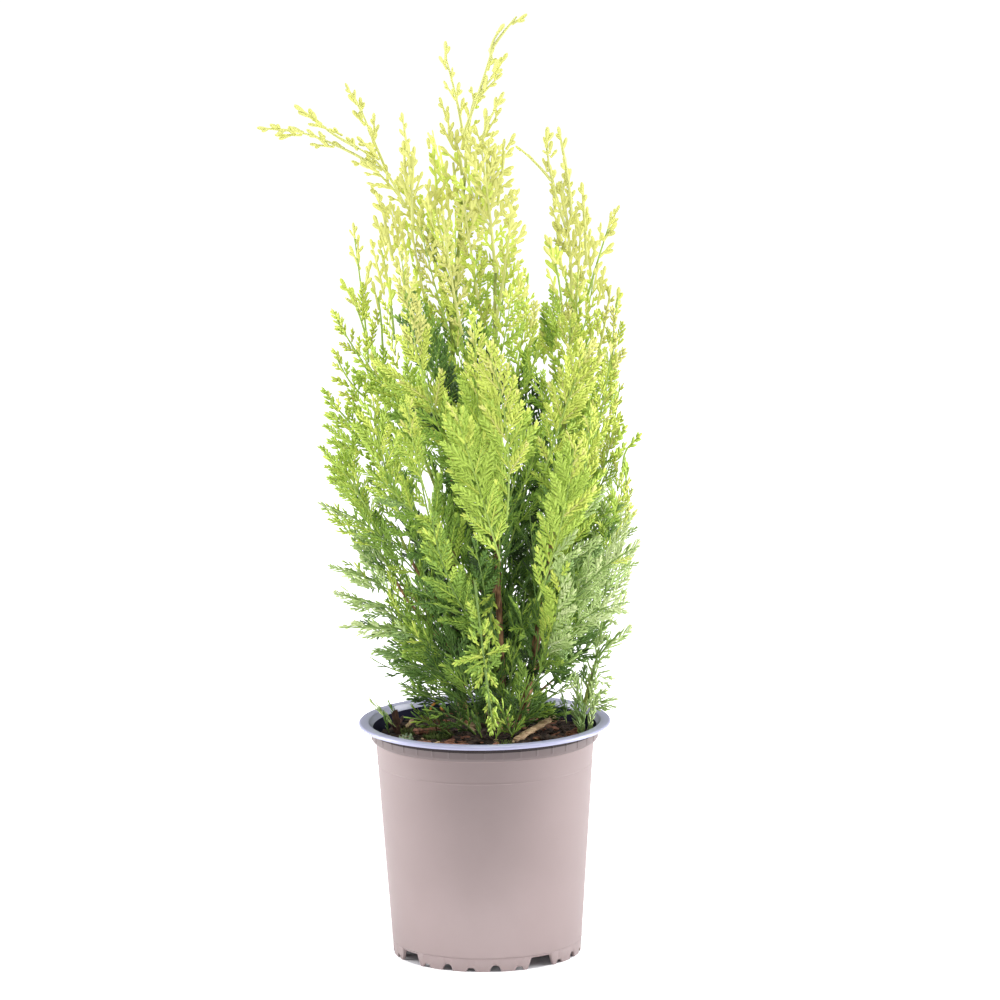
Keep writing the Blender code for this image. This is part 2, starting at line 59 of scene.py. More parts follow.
# The pot, as the part's source has it
POT_HEIGHT = 178 * MM
LIP_RADIUS = 95 * MM
LIP_INNER_RADIUS = 87 * MM
LIP_DEPTH = 3.2 * MM
NECK_RADIUS = 85.4 * MM
NECK_FOOT = 165.5 * MM
BODY_TOP_RADIUS = 82.2 * MM
BODY_TOP = 163 * MM
FOOT_RADIUS = 70.9 * MM
WALL = 1.5 * MM
FOOT_WALL = 2.2 * MM
FLOOR_UNDERSIDE = 9.5 * MM
FLOOR_TOP = 11.5 * MM
HUB_RADIUS = 15 * MM
SOIL_HEIGHT = 169 * MM
GAP = 0.3 * MM
SLOT_ANGLE = 35
NOTCH_STEP = 15
SLOT = (24 * MM, 17 * MM, 8.6 * MM)
FLAT_NOTCH = (7.5 * MM, 4 * MM, 2.9 * MM)
ARCH_NOTCH = (8.0 * MM, 4.2 * MM, 5.0 * MM)

Stem = namedtuple("Stem", "name foot tip bow foot_radius tip_radius")
Frond = namedtuple("Frond", "name stem leaves tip breadth bare facing out rise")

# The stems and fronds of the part's source, in millimetres, which the finer growth here follows
STEMS = (
    Stem("stem_left", (-15, 24), (-9, 3, 598), (-11, -3), 3.4, 1.2),
    Stem("stem_centre", (15, 1), (12, -11, 520), (-3, -4), 3.1, 1.3),
    Stem("stem_right", (27, 8), (69, 3, 492), (6, -5), 3.6, 1.3),
    Stem("stem_small", (72, -6), (81, -4, 212), (-1, 0), 1.7, 1.1),
)
FRONDS = (
    Frond("leader", "stem_left", None, (35, -2, 711), 24, 0, 0, 0.02, 0.62),
    Frond("leader_left", "stem_left", 560, (-24, 8, 692), 18, 0.10, 25, 0.75, 0.35),
    Frond("crest_right", "stem_left", 535, (18, -10, 655), 20, 0.15, -30, 0.75, 0.35),
    Frond("crest_left", "stem_left", 505, (-38, 14, 620), 22, 0.15, 20, 0.75, 0.40),
    Frond("arch", "stem_left", 470, (-163, 2, 629), 34, 0.30, 0, 0.16, 0.96),
    Frond("arch_upper", "stem_left", 500, (-98, 12, 662), 26, 0.30, -15, 0.42, 0.55),
    Frond("spear", "stem_left", 430, (-57, -14, 641), 18, 0.35, 70, 0.85, 0.40),
    Frond("gold", "stem_centre", None, (0, -14, 632), 30, 0, 5, 0.30, 0.50),
    Frond("gold_right", "stem_centre", 480, (27, -24, 622), 24, 0.15, -20, 0.85, 0.40),
    Frond("right_leader", "stem_right", None, (52, 2, 628), 24, 0, 10, 0.02, 0.60),
    Frond("right_spear", "stem_right", 455, (77, 14, 588), 20, 0.20, 35, 0.90, 0.40),
    Frond("right_outer", "stem_right", 385, (104, 4, 568), 24, 0.28, -10, 0.85, 0.35),
    Frond("right_inner", "stem_right", 410, (46, -12, 547), 24, 0.20, -25, 0.80, 0.40),
    Frond("right_edge", "stem_right", 325, (102, -8, 507), 26, 0.28, 35, 0.88, 0.35),
    Frond("right_middle", "stem_right", 285, (107, 16, 460), 30, 0.25, -45, 0.86, 0.30),
    Frond("right_side", "stem_right", 245, (117, -4, 396), 31, 0.25, 22, 0.66, 0.25),
    Frond("right_low", "stem_right", 215, (113, 14, 332), 32, 0.25, -45, 0.66, 0.32),
    Frond("right_skirt", "stem_right", 190, (103, 22, 262), 28, 0.22, 30, 0.65, 0.45),
    Frond("small_frond", "stem_small", None, (107, -8, 252), 24, 0, -15, 0.20, 0.65),
    Frond("left_plume", "stem_left", 250, (-95, 6, 556), 36, 0.36, 5, 0.95, 0.22),
    Frond("left_upper", "stem_left", 330, (-76, 30, 566), 26, 0.30, -40, 0.85, 0.35),
    Frond("left_edge", "stem_left", 225, (-113, -16, 492), 34, 0.32, -20, 0.90, 0.28),
    Frond("left_middle", "stem_left", 240, (-115, 24, 437), 33, 0.28, 45, 0.85, 0.28),
    Frond("left_side", "stem_left", 205, (-119, -8, 391), 34, 0.26, -5, 0.75, 0.30),
    Frond("left_low", "stem_left", 200, (-123, 16, 343), 32, 0.24, 40, 0.62, 0.38),
    Frond("left_skirt", "stem_left", 192, (-117, -6, 297), 28, 0.22, -20, 0.58, 0.50),
    Frond("left_hem", "stem_left", 184, (-109, 14, 248), 24, 0.20, 15, 0.52, 0.66),
    Frond("front_upper", "stem_centre", 340, (-58, -42, 546), 32, 0.28, -12, 0.85, 0.32),
    Frond("front_left", "stem_centre", 265, (-55, -58, 438), 34, 0.26, 25, 0.85, 0.32),
    Frond("front_middle", "stem_centre", 300, (-4, -56, 502), 34, 0.24, -5, 0.90, 0.30),
    Frond("front_right", "stem_right", 260, (82, -48, 428), 34, 0.26, 15, 0.85, 0.30),
    Frond("front_small", "stem_centre", 232, (-38, -72, 352), 28, 0.24, -10, 0.80, 0.35),
    Frond("front_hanging", "stem_centre", 290, (3, -63, 186), 22, 0.20, 10, 1.05, 0.10),
    Frond("front_hem", "stem_right", 205, (60, -74, 318), 30, 0.24, -20, 0.80, 0.35),
    Frond("back_upper", "stem_centre", 385, (40, 52, 560), 32, 0.24, 160, 0.85, 0.32),
    Frond("back_left", "stem_left", 270, (-58, 78, 468), 36, 0.26, 145, 0.85, 0.32),
    Frond("back_middle", "stem_centre", 255, (8, 88, 430), 38, 0.26, 100, 0.85, 0.32),
    Frond("back_right", "stem_right", 270, (82, 72, 452), 36, 0.26, 205, 0.85, 0.32),
    Frond("back_hem_left", "stem_left", 200, (-42, 92, 318), 32, 0.24, 120, 0.80, 0.35),
    Frond("back_hem_right", "stem_right", 205, (50, 90, 322), 32, 0.24, 215, 0.80, 0.35),
)

# Plumes that stand out at the front of the crown, in millimetres: the root, a middle that the axis passes through,
# the tip and the breadth, then facing as in a frond, how much brighter than its place its tint is made, a painted
# light above zero and a painted shade below, and its sprays' spacing
Plume = namedtuple("Plume", "name root middle tip breadth facing key step")
PLUMES = (
    Plume("heart", (-1, -12, 500), (-7, -14, 545), (-12, -14, 583), 17, -15, 0.12, 6.0),
    Plume("heart_left", (-13, -18, 475), (-21, -22, 520), (-26, -20, 565), 18, 20, 0.1, 5.6),
    Plume("heart_far_left", (-22, -10, 473), (-34, -12, 515), (-44, -10, 559), 18, -20, 0.0, 5.6),
    Plume("shaded", (-17, -22, 388), (-36, -28, 445), (-55, -22, 508), 32, 10, -0.60, 5.0),
    Plume("middle_left", (13, -62, 312), (-4, -66, 374), (-19, -64, 426), 30, 10, 0.07, 5.2),
    Plume("middle_plume", (18, -60, 342), (19, -66, 411), (5, -62, 474), 30, -10, 0.1, 5.2),
    Plume("middle_right", (41, -60, 281), (60, -64, 346), (69, -60, 405), 24, 0, 0.07, 5.2),
    Plume("right_lime", (47, -38, 375), (65, -42, 429), (81, -38, 469), 28, 15, 0.03, 5.2),
    Plume("left_lime", (-60, -22, 336), (-73, -28, 383), (-80, -26, 428), 28, -10, 0.08, 5.2),
    Plume("right_pale", (87, -10, 240), (95, -14, 302), (102, -14, 348), 26, 20, 0.12, 5.2),
    Plume("fan_top", (-32, -10, 265), (-73, -16, 320), (-121, -12, 347), 27, 0, -0.04, 5.4),
    Plume("fan_high", (-33, -14, 243), (-70, -20, 282), (-116, -16, 300), 29, 0, 0.04, 5.4),
    Plume("fan_middle", (-33, -20, 236), (-66, -26, 267), (-113, -24, 281), 27, 0, 0.08, 5.4),
    Plume("fan_low", (-33, -30, 238), (-66, -38, 255), (-109, -36, 257), 23, 0, 0.16, 5.4),
    Plume("fan_foot", (-33, -10, 211), (-59, -14, 228), (-84, -10, 234), 20, 0, 0.06, 5.4),
    Plume("fan_hem", (-30, -20, 195), (-48, -26, 205), (-65, -24, 212), 16, 0, 0.0, 5.4),
    Plume("right_fan_high", (46, -30, 245), (80, -36, 291), (118, -30, 316), 28, 0, 0.12, 5.4),
    Plume("right_fan", (42, -34, 230), (76, -42, 264), (111, -36, 274), 27, 0, 0.12, 5.4),
    Plume("right_fan_foot", (34, -20, 205), (54, -26, 223), (72, -22, 226), 20, 0, 0.04, 5.4),
    Plume("right_fan_hem", (33, -20, 186), (46, -26, 198), (58, -24, 204), 16, 0, 0.0, 5.4),
    Plume("foot_a", (-11, -14, 179), (-30, -20, 198), (-54, -24, 207), 22, 0, -0.02, 5.4),
    Plume("foot_b", (-12, -14, 196), (-33, -24, 220), (-59, -30, 228), 26, 0, 0.0, 5.4),
    Plume("foot_c", (-11, -14, 212), (-33, -28, 238), (-62, -36, 247), 28, 0, 0.0, 5.4),
    Plume("foot_d", (-7, -24, 172), (-22, -34, 187), (-41, -44, 195), 16, 0, -0.15, 5.4),
    Plume("foot_e", (-3, -20, 176), (-11, -34, 208), (-21, -40, 236), 24, -15, 0.0, 5.4),
    Plume("foot_f", (2, -8, 168), (6, -12, 203), (4, -14, 234), 24, 10, 0.1, 5.4),
    Plume("foot_g", (15, -12, 169), (19, -18, 204), (24, -20, 243), 22, -10, 0.1, 5.4),
    Plume("foot_h", (20, -20, 168), (30, -30, 199), (46, -36, 227), 24, 0, 0.1, 5.4),
    Plume("foot_i", (27, -16, 177), (46, -26, 198), (64, -32, 211), 18, 0, 0.08, 5.4),
    Plume("foot_j", (20, -44, 176), (16, -52, 187), (14, -56, 200), 13, 0, 0.12, 5.0),
    Plume("foot_k", (30, 6, 170), (42, 0, 181), (57, -6, 190), 18, 0, -0.1, 5.4),
    Plume("foot_l", (-26, -20, 171), (-39, -30, 182), (-54, -34, 187), 13, 0, -0.1, 5.4),
    # The deep plumes inside the crown: their low keys make their tints darker, a painted shade.
    Plume("deep_a", (13, 15, 259), (19, 24, 311), (23, 30, 364), 30, -15, -0.25, 5.0),
    Plume("deep_b", (35, 18, 266), (34, 26, 314), (38, 32, 369), 28, 20, -0.25, 5.0),
    Plume("deep_c", (47, 12, 290), (48, 22, 334), (44, 28, 387), 26, -10, -0.45, 5.0),
    Plume("deep_d", (-10, 5, 254), (-21, 14, 294), (-30, 20, 332), 30, 10, -0.58, 5.0),
    Plume("deep_e", (-22, 10, 245), (-40, 16, 287), (-53, 22, 326), 26, -20, -0.5, 5.0),
    Plume("deep_f", (20, 6, 215), (21, 8, 253), (22, 10, 298), 26, 25, -0.15, 5.0),
    Plume("deep_g", (-22, 6, 200), (-25, 10, 238), (-27, 14, 275), 28, -25, -0.5, 5.0),
    Plume("deep_h", (46, 4, 230), (50, 12, 263), (60, 20, 300), 28, 0, -0.1, 5.0),
    Plume("deep_i", (-9, 16, 351), (-16, 22, 396), (-24, 28, 441), 28, 15, -0.62, 5.0),
    Plume("deep_j", (7, 14, 397), (3, 20, 434), (-3, 24, 475), 26, -15, -0.62, 5.0),
    Plume("deep_k", (12, -2, 193), (11, 0, 232), (9, 2, 270), 28, 0, -0.1, 5.0),
    Plume("deep_l", (40, 10, 367), (37, 16, 404), (31, 22, 440), 24, 0, -0.62, 5.0),
)

# Single sprays at the front and at the edges of the crown, traced in millimetres: a name, how far back they are, how
# much brighter than their place their tint is made, a painted light above zero and a painted shade below, and the x
# and z of each spray's root and tip
TRACED = (
    ("leader", -2, 0.1, ((5, 656, 7, 667), (-2, 647, 19, 668), (10, 663, 23, 683), (12, 669, 16, 679),
        (26, 704, 38, 712), (15, 697, 21, 705), (8, 669, 13, 690),)),
    ("leader_left", 6, 0.05, ((-23, 677, -23, 692), (-22, 670, -28, 680), (-19, 661, -18, 672),
        (-16, 647, -25, 661), (-16, 647, -13, 661), (-13, 635, -10, 650), (-17, 610, -28, 631),
        (-21, 619, -22, 639), (-22, 631, -28, 650), (-17, 609, -15, 626), (-12, 597, -28, 614),
        (-12, 610, -9, 626),)),
    ("crest", -8, 0.05, ((9, 600, -3, 631), (-6, 603, -5, 630), (-6, 606, 16, 627), (3, 618, 18, 643),
        (6, 626, 6, 643), (12, 640, 20, 655), (13, 641, 14, 651), (11, 592, 13, 617), (17, 599, 20, 620),
        (21, 611, 28, 624), (17, 603, 27, 613), (12, 592, 27, 599), (15, 582, 27, 590), (14, 571, 29, 581),
        (16, 591, 26, 598),)),
    ("crest_low", 4, -0.05, ((-28, 592, -36, 605), (-26, 580, -23, 603), (-31, 580, -33, 612),
        (-23, 569, -23, 582), (-20, 573, -16, 588), (-2, 591, 0, 604), (-1, 580, -5, 594), (-36, 611, -37, 620),)),
    ("arch", 2, 0.1, ((-115, 630, -136, 646), (-123, 636, -132, 640), (-121, 633, -125, 643),
        (-112, 628, -126, 632), (-132, 626, -164, 629), (-144, 626, -153, 632), (-130, 623, -151, 623),
        (-139, 623, -148, 620), (-129, 625, -139, 629), (-111, 615, -127, 628), (-113, 615, -118, 626),
        (-106, 614, -125, 616), (-89, 611, -98, 621), (-74, 606, -90, 621), (-77, 611, -84, 617),
        (-99, 612, -108, 618), (-100, 622, -111, 627),)),
    ("arch_upper", 10, 0.1, ((-89, 644, -98, 661), (-89, 644, -96, 652), (-86, 636, -87, 650),
        (-83, 628, -93, 640), (-77, 617, -77, 638), (-76, 612, -81, 629), (-78, 601, -79, 615),
        (-73, 603, -85, 610),)),
    ("arch_under", -4, -0.05, ((-73, 595, -88, 602), (-65, 583, -83, 588), (-67, 557, -80, 587),
        (-72, 569, -76, 581), (-67, 562, -79, 572), (-66, 560, -72, 573), (-69, 540, -78, 564),
        (-62, 563, -66, 574),)),
    ("spear", -12, 0.1, ((-52, 613, -56, 641), (-49, 583, -47, 616), (-51, 581, -57, 605), (-51, 571, -58, 596),
        (-48, 578, -41, 597), (-50, 593, -52, 619), (-54, 594, -55, 620),)),
    ("right_leader", 2, 0.05, ((51, 611, 52, 628), (51, 612, 49, 620), (53, 607, 55, 617), (53, 605, 48, 610),
        (54, 604, 59, 610), (52, 593, 48, 604), (56, 583, 53, 599), (32, 609, 28, 613), (41, 603, 36, 607),
        (57, 564, 55, 585), (64, 605, 60, 627), (67, 580, 64, 606), (67, 566, 68, 594), (64, 563, 62, 580),
        (61, 550, 53, 568), (62, 541, 55, 556), (73, 545, 71, 563), (76, 541, 73, 561), (79, 552, 77, 586),
        (80, 548, 81, 567), (80, 528, 83, 551), (63, 568, 60, 586),)),
    ("right_outer", 2, 0.05, ((96, 550, 105, 568), (97, 552, 99, 564), (92, 541, 103, 555), (90, 537, 91, 555),
        (89, 528, 101, 539), (86, 518, 92, 526), (88, 492, 94, 523), (83, 516, 81, 538), (85, 504, 89, 525),)),
    ("right_rim", -6, 0.0, ((102, 493, 104, 508), (100, 474, 99, 495), (102, 486, 105, 498),
        (103, 463, 107, 483), (98, 460, 95, 479), (92, 481, 96, 496),)),
    # These two rows of sprays have low keys: their darker tints are a painted shade.
    ("inner_left", -14, -0.25, ((57, 527, 49, 549), (53, 536, 53, 547), (57, 527, 48, 541), (58, 526, 58, 540),
        (60, 517, 49, 530), (57, 506, 50, 524), (60, 499, 52, 512), (60, 490, 52, 509),)),
    ("inner_painted_shade", -10, -0.5, ((60, 468, 47, 499), (56, 464, 46, 490), (61, 480, 54, 499), (54, 460, 46, 479),)),
    ("gold_side", -26, 0.05, ((26, 564, 23, 573), (20, 563, 28, 568), (22, 550, 26, 563), (28, 544, 35, 558),
        (28, 544, 34, 548), (25, 536, 32, 539), (29, 502, 29, 532), (28, 505, 32, 523), (29, 500, 37, 513),
        (34, 478, 35, 502), (37, 480, 43, 503), (37, 468, 43, 488),)),
    ("left_crest", 24, 0.0, ((-93, 542, -94, 554), (-94, 544, -97, 549), (-91, 527, -90, 545),
        (-89, 518, -97, 536), (-86, 502, -81, 526), (-85, 507, -83, 517), (-88, 479, -87, 510),
        (-85, 480, -85, 495),)),
    ("left_second", 14, 0.0, ((-92, 493, -104, 514), (-92, 492, -101, 499), (-93, 493, -93, 502),
        (-98, 502, -97, 507), (-90, 484, -90, 497),)),
    ("left_third", 6, 0.0, ((-100, 473, -111, 492), (-103, 479, -103, 486), (-99, 470, -109, 479),
        (-96, 466, -95, 478), (-89, 456, -106, 467), (-91, 460, -90, 471), (-85, 459, -85, 475),)),
    ("left_fourth", -4, 0.0, ((-103, 451, -111, 464), (-105, 453, -105, 459), (-102, 445, -111, 453),
        (-100, 442, -99, 454), (-98, 434, -112, 443), (-94, 434, -95, 445), (-92, 423, -107, 431),
        (-91, 432, -90, 447),)),
    ("left_fifth", -12, 0.0, ((-109, 422, -119, 435), (-112, 428, -113, 433), (-106, 417, -117, 426),
        (-106, 417, -106, 429), (-101, 410, -117, 417), (-99, 410, -100, 423),)),
    ("left_inner", 10, 0.0, ((-75, 489, -80, 512), (-74, 497, -74, 505), (-76, 478, -78, 492),
        (-79, 474, -83, 486), (-82, 463, -78, 482), (-67, 504, -75, 543), (-71, 500, -81, 543),
        (-66, 493, -67, 516), (-68, 526, -74, 546),)),
    ("gap_edge", -12, 0.0, ((-55, 510, -62, 534), (-51, 506, -62, 529), (-53, 499, -62, 513),
        (-51, 491, -61, 504), (-50, 480, -59, 493), (-50, 465, -58, 482), (-49, 454, -57, 467),)),
    ("left_sixth", -16, 0.0, ((-97, 403, -117, 418), (-96, 393, -118, 409), (-102, 388, -116, 398),
        (-102, 389, -110, 397), (-90, 386, -110, 395), (-101, 370, -121, 393), (-109, 379, -119, 384),
        (-103, 373, -107, 387), (-101, 374, -102, 388), (-101, 369, -118, 378), (-98, 365, -117, 368),
        (-96, 360, -115, 365), (-95, 356, -111, 360), (-90, 350, -108, 354), (-93, 365, -100, 379),
        (-94, 369, -96, 381), (-104, 403, -112, 408), (-88, 341, -94, 352),)),
    ("left_fan_top", -12, 0.02, ((-109, 340, -124, 349), (-111, 342, -118, 348), (-107, 338, -119, 341),
        (-103, 336, -111, 348), (-98, 332, -105, 344), (-97, 330, -117, 336), (-92, 328, -96, 344),
        (-95, 324, -111, 327), (-89, 320, -105, 329), (-85, 311, -101, 316), (-83, 315, -97, 319),
        (-82, 303, -95, 313), (-82, 331, -90, 347),)),
    ("left_fan_high", -16, 0.05, ((-99, 296, -117, 302), (-91, 293, -107, 296), (-104, 298, -110, 302),
        (-87, 291, -97, 304), (-86, 289, -96, 300), (-84, 286, -98, 292), (-80, 283, -94, 286),
        (-73, 279, -84, 296), (-84, 300, -93, 309), (-80, 294, -92, 305),)),
    ("left_fan_middle", -22, 0.05, ((-97, 276, -114, 282), (-100, 277, -108, 282), (-95, 275, -104, 282),
        (-90, 273, -99, 281), (-88, 272, -106, 275), (-80, 270, -101, 269), (-78, 270, -86, 275),
        (-73, 270, -82, 275), (-73, 265, -92, 262), (-77, 266, -84, 267), (-68, 267, -77, 274),)),
    ("left_fan_low", -30, 0.1, ((-93, 258, -110, 257), (-91, 258, -100, 261), (-88, 257, -96, 262),
        (-83, 256, -98, 256), (-77, 256, -85, 264), (-73, 252, -92, 248), (-65, 253, -85, 252),
        (-62, 252, -73, 249), (-68, 255, -77, 262), (-79, 255, -92, 255),)),
    ("left_fan_foot", -16, -0.05, ((-53, 235, -74, 243), (-55, 239, -69, 244), (-55, 235, -85, 236),
        (-56, 233, -80, 233), (-58, 231, -74, 230), (-53, 227, -70, 227), (-51, 223, -65, 222),
        (-47, 216, -65, 220), (-44, 202, -65, 211), (-46, 205, -55, 203), (-42, 199, -56, 197),
        (-47, 212, -59, 217), (-41, 196, -52, 205),)),
    ("right_upper", -8, 0.0, ((98, 459, 102, 475), (97, 444, 109, 463), (98, 451, 103, 459),
        (95, 433, 103, 445), (96, 426, 103, 436), (96, 414, 103, 425), (94, 408, 102, 419), (98, 403, 105, 413),
        (97, 398, 104, 407), (100, 392, 110, 404), (98, 387, 107, 398), (101, 379, 109, 391),)),
    ("right_curve", 5, 0.0, ((110, 384, 121, 396), (116, 390, 119, 394), (107, 363, 110, 373),
        (108, 351, 111, 363), (108, 340, 113, 356), (108, 332, 113, 344), (107, 324, 115, 337),
        (105, 313, 117, 326), (108, 317, 113, 324), (103, 302, 117, 310), (106, 305, 112, 312),
        (101, 318, 105, 333), (99, 329, 105, 344),)),
    ("right_fan_edge", -20, 0.05, ((101, 295, 118, 303), (104, 299, 111, 305), (101, 286, 112, 289),
        (99, 272, 109, 283), (98, 264, 110, 273), (98, 264, 111, 262), (101, 268, 106, 272),
        (93, 258, 102, 254), (92, 253, 101, 259),)),
    ("shoot_top", -8, 0.1, ((87, 229, 113, 250), (91, 235, 96, 246), (98, 240, 103, 247), (94, 234, 93, 226),
        (84, 232, 86, 245), (87, 235, 92, 249), (96, 238, 105, 243), (90, 232, 98, 236),)),
    ("shoot_right", -6, 0.16, ((86, 208, 98, 203), (87, 212, 100, 209), (86, 214, 96, 217), (86, 218, 93, 221),
        (83, 193, 93, 204), (81, 197, 95, 200), (79, 190, 103, 196), (81, 190, 101, 189), (81, 188, 96, 186),
        (87, 192, 96, 194),)),
    ("shoot_left", -8, 0.12, ((72, 189, 64, 202), (73, 187, 68, 202), (72, 193, 66, 219), (72, 201, 70, 215),
        (74, 202, 73, 212), (72, 184, 64, 192), (71, 171, 76, 185), (76, 185, 81, 198), (76, 182, 85, 186),
        (70, 206, 65, 213),)),
    ("hem_right", -10, -0.1, ((50, 217, 59, 208), (46, 202, 57, 199), (54, 221, 71, 221), (59, 229, 71, 224),
        (46, 210, 54, 202), (48, 219, 63, 215),)),
    ("hanging", -65, 0.14, ((-3, 266, -12, 283), (-2, 257, -9, 273), (-5, 253, -11, 262), (-3, 249, -12, 256),
        (-4, 244, -13, 248), (-2, 241, -15, 244), (-3, 241, -24, 235), (0, 240, -20, 237), (-1, 237, -15, 229),
        (1, 234, -10, 225), (0, 228, -7, 215), (2, 241, 20, 249), (3, 237, 14, 242), (2, 233, 14, 235),
        (0, 249, 7, 260), (0, 256, 4, 269), (2, 219, 4, 202), (2, 228, 10, 215), (4, 212, 11, 204),
        (7, 201, 5, 184), (9, 202, 4, 179), (3, 215, 1, 207),)),
    ("upper_fill", -2, 0.0, ((-64, 528, -68, 544), (-62, 537, -65, 555), (-59, 543, -64, 561),
        (-57, 528, -62, 546), (-54, 532, -57, 552), (-51, 540, -54, 559), (-53, 523, -59, 540),
        (-49, 527, -53, 546), (-38, 568, -36, 590), (-34, 562, -37, 578), (-31, 569, -34, 586),
        (-21, 554, -24, 575), (-16, 550, -14, 571), (66, 534, 63, 552), (68, 525, 72, 546), (65, 544, 69, 561),
        (83, 524, 88, 542),)),
    ("left_bay", -8, 0.0, ((-89, 421, -97, 438), (-92, 426, -100, 434), (-89, 415, -101, 426),
        (-91, 414, -100, 420), (-87, 423, -85, 437), (-92, 397, -105, 412), (-90, 401, -91, 416),
        (-96, 401, -95, 410), (-88, 392, -93, 407), (-85, 394, -87, 409), (-94, 390, -105, 401),)),
    ("right_bay", -2, 0.0, ((105, 344, 110, 361), (103, 359, 107, 374), (101, 368, 98, 384),
        (106, 329, 112, 345), (102, 352, 100, 367), (98, 375, 103, 386),)),
    # These sprays have a low key: their darker tint is a painted shade.
    ("heart_painted_shade", 10, -0.5, ((-21, 459, -28, 485), (-17, 454, -21, 479), (-24, 450, -29, 471),
        (-14, 457, -15, 482), (-18, 469, -24, 492),)),
    ("cover", -4, 0.0, ((-33, 476, -37, 499), (-28, 479, -29, 500), (-36, 485, -41, 505), (-46, 495, -49, 517),
        (-49, 502, -45, 528), (2, 482, -3, 508), (5, 491, 7, 520), (0, 500, 2, 527), (3, 477, 8, 499),
        (64, 475, 61, 499), (67, 478, 66, 498), (83, 467, 81, 489), (88, 470, 87, 492), (-57, 546, -61, 564),
        (-60, 540, -55, 558),)),
    ("cover_low", 6, -0.1, ((48, 448, 45, 471), (51, 456, 49, 475), (50, 419, 46, 439), (56, 418, 53, 437),
        (49, 412, 44, 427), (-75, 440, -79, 463), (-72, 443, -73, 465), (-34, 362, -39, 382),
        (-30, 367, -31, 385), (-86, 386, -98, 397), (-88, 380, -100, 389), (-94, 404, -102, 420),
        (-86, 403, -95, 421),)),
    ("shoot_axis", -4, 0.14, ((81, 193, 78, 215), (84, 201, 83, 224), (78, 199, 75, 221), (82, 184, 80, 202),
        (86, 218, 84, 235),)),
    ("cover_left", 8, -0.05, ((-81, 424, -89, 442), (-77, 422, -83, 440), (-86, 428, -93, 443),
        (-72, 423, -77, 442), (-89, 434, -96, 448), (-78, 430, -84, 448), (-69, 429, -72, 448),)),
    ("cover_top", -6, 0.0, ((-68, 543, -73, 558), (-57, 551, -60, 570), (-61, 554, -67, 572),
        (-21, 558, -23, 577), (-53, 528, -57, 546), (60, 524, 57, 539), (63, 515, 60, 534), (93, 498, 90, 513),
        (87, 531, 84, 546), (75, 498, 72, 519),)),
    ("shoot_foot", -14, 0.06, ((75, 163, 70, 183), (73, 169, 66, 188), (77, 172, 83, 192), (75, 178, 72, 198),
        (78, 184, 87, 201), (76, 165, 82, 178), (74, 174, 67, 197), (79, 195, 84, 214),)),
)
TRACED_TWIGS = (
    (-2, -11, 622, 1, 653, 12, 687), (-2, 12, 687, 20, 698, 30, 710), (-2, 11, 678, 12, 691, 20, 702),
    (-2, -2, 647, 5, 657, 11, 664), (6, -10, 610, -14, 641, -23, 679), (6, -12, 591, -15, 612, -21, 621),
    (-8, 7, 591, 6, 612, 3, 619), (-8, 3, 618, 8, 632, 13, 641), (-8, 14, 570, 18, 595, 20, 611),
    (2, -55, 568, -69, 595, -89, 613), (2, -89, 613, -105, 622, -115, 630), (2, -71, 596, -105, 615, -132, 625),
    (10, -67, 591, -76, 614, -86, 639), (10, -86, 639, -89, 645, -93, 653), (-12, -49, 557, -50, 590, -53, 620),
    (2, 65, 551, 56, 583, 51, 613), (2, 54, 587, 43, 600, 30, 612), (2, 69, 561, 67, 587, 62, 617),
    (2, 80, 523, 79, 553, 78, 579), (2, 81, 501, 89, 528, 98, 555), (-6, 98, 445, 100, 475, 103, 499),
    (-14, 61, 499, 57, 526, 52, 541), (24, -84, 448, -87, 488, -93, 542), (14, -85, 467, -90, 485, -97, 502),
    (6, -84, 444, -94, 461, -107, 483), (-4, -83, 424, -96, 436, -107, 456),
    (-12, -96, 407, -106, 418, -115, 430), (10, -73, 460, -74, 484, -76, 499),
    (10, -64, 467, -68, 509, -73, 535), (-4, -65, 533, -72, 569, -77, 582),
    (-16, -82, 339, -93, 356, -106, 378), (-12, -74, 304, -92, 325, -111, 342),
    (-16, -65, 272, -81, 288, -103, 299), (-22, -61, 258, -79, 269, -103, 279),
    (-30, -50, 252, -73, 256, -98, 258), (-16, -40, 222, -52, 232, -60, 234), (5, 101, 297, 109, 333, 107, 367),
    (5, 107, 367, 107, 378, 113, 388), (-8, 86, 226, 95, 238, 105, 247), (-6, 79, 194, 82, 213, 86, 230),
    (-4, 74, 184, 80, 201, 82, 218), (-65, -6, 298, -2, 259, 1, 231), (-65, 1, 231, 3, 213, 6, 190),
)

# Where the photo shows the sky, or in front of a stem its bark: from x and z to x and z in the picture's plane, half
# the width, and whether only what stands in front of the stem is left out
WINDOWS = (
    (-43, 361, -43, 347, 7.0, False), (-108, 319, -88, 292, 5.2, False), (-98, 279, -74, 272, 4.4, False),
    (-99, 262, -75, 256, 3.7, False), (-92, 240, -69, 236, 4.4, False), (47, 210, 60, 194, 4.4, False),
    (71, 220, 75, 208, 2.2, False), (39, 451, 49, 450, 1.8, False), (40, 519, 46, 500, 2.6, False),
    (92, 509, 96, 476, 2.2, False), (-61, 506, -59, 435, 1.1, False), (-53, 465, -51, 434, 1.1, False),
    (-62, 332, -53, 283, 1.5, False), (-106, 347, -97, 338, 3.7, False), (11, 287, 15, 239, 1.8, True),
    (15, 239, 14, 197, 1.5, True), (41, 249, 35, 217, 2.2, True), (35, 217, 27, 181, 1.8, True),
    (30, 373, 36, 315, 2.2, True), (-41, 443, -33, 412, 3.0, True),
)

FRONT_DEPTH = -12 * MM
BOUGH_SHARE = 0.28
BOUGH_ROOT_RADIUS, BOUGH_TIP_RADIUS = 1.9 * MM, 1.1 * MM
TWIG_ROOT_RADIUS, TWIG_TIP_RADIUS = 1.0 * MM, 0.38 * MM
STEM_FLARE, FLARE_HEIGHT = 0.7, 9 * MM
SPRAY_ANGLE_LOW, SPRAY_ANGLE_HIGH = 44, 27
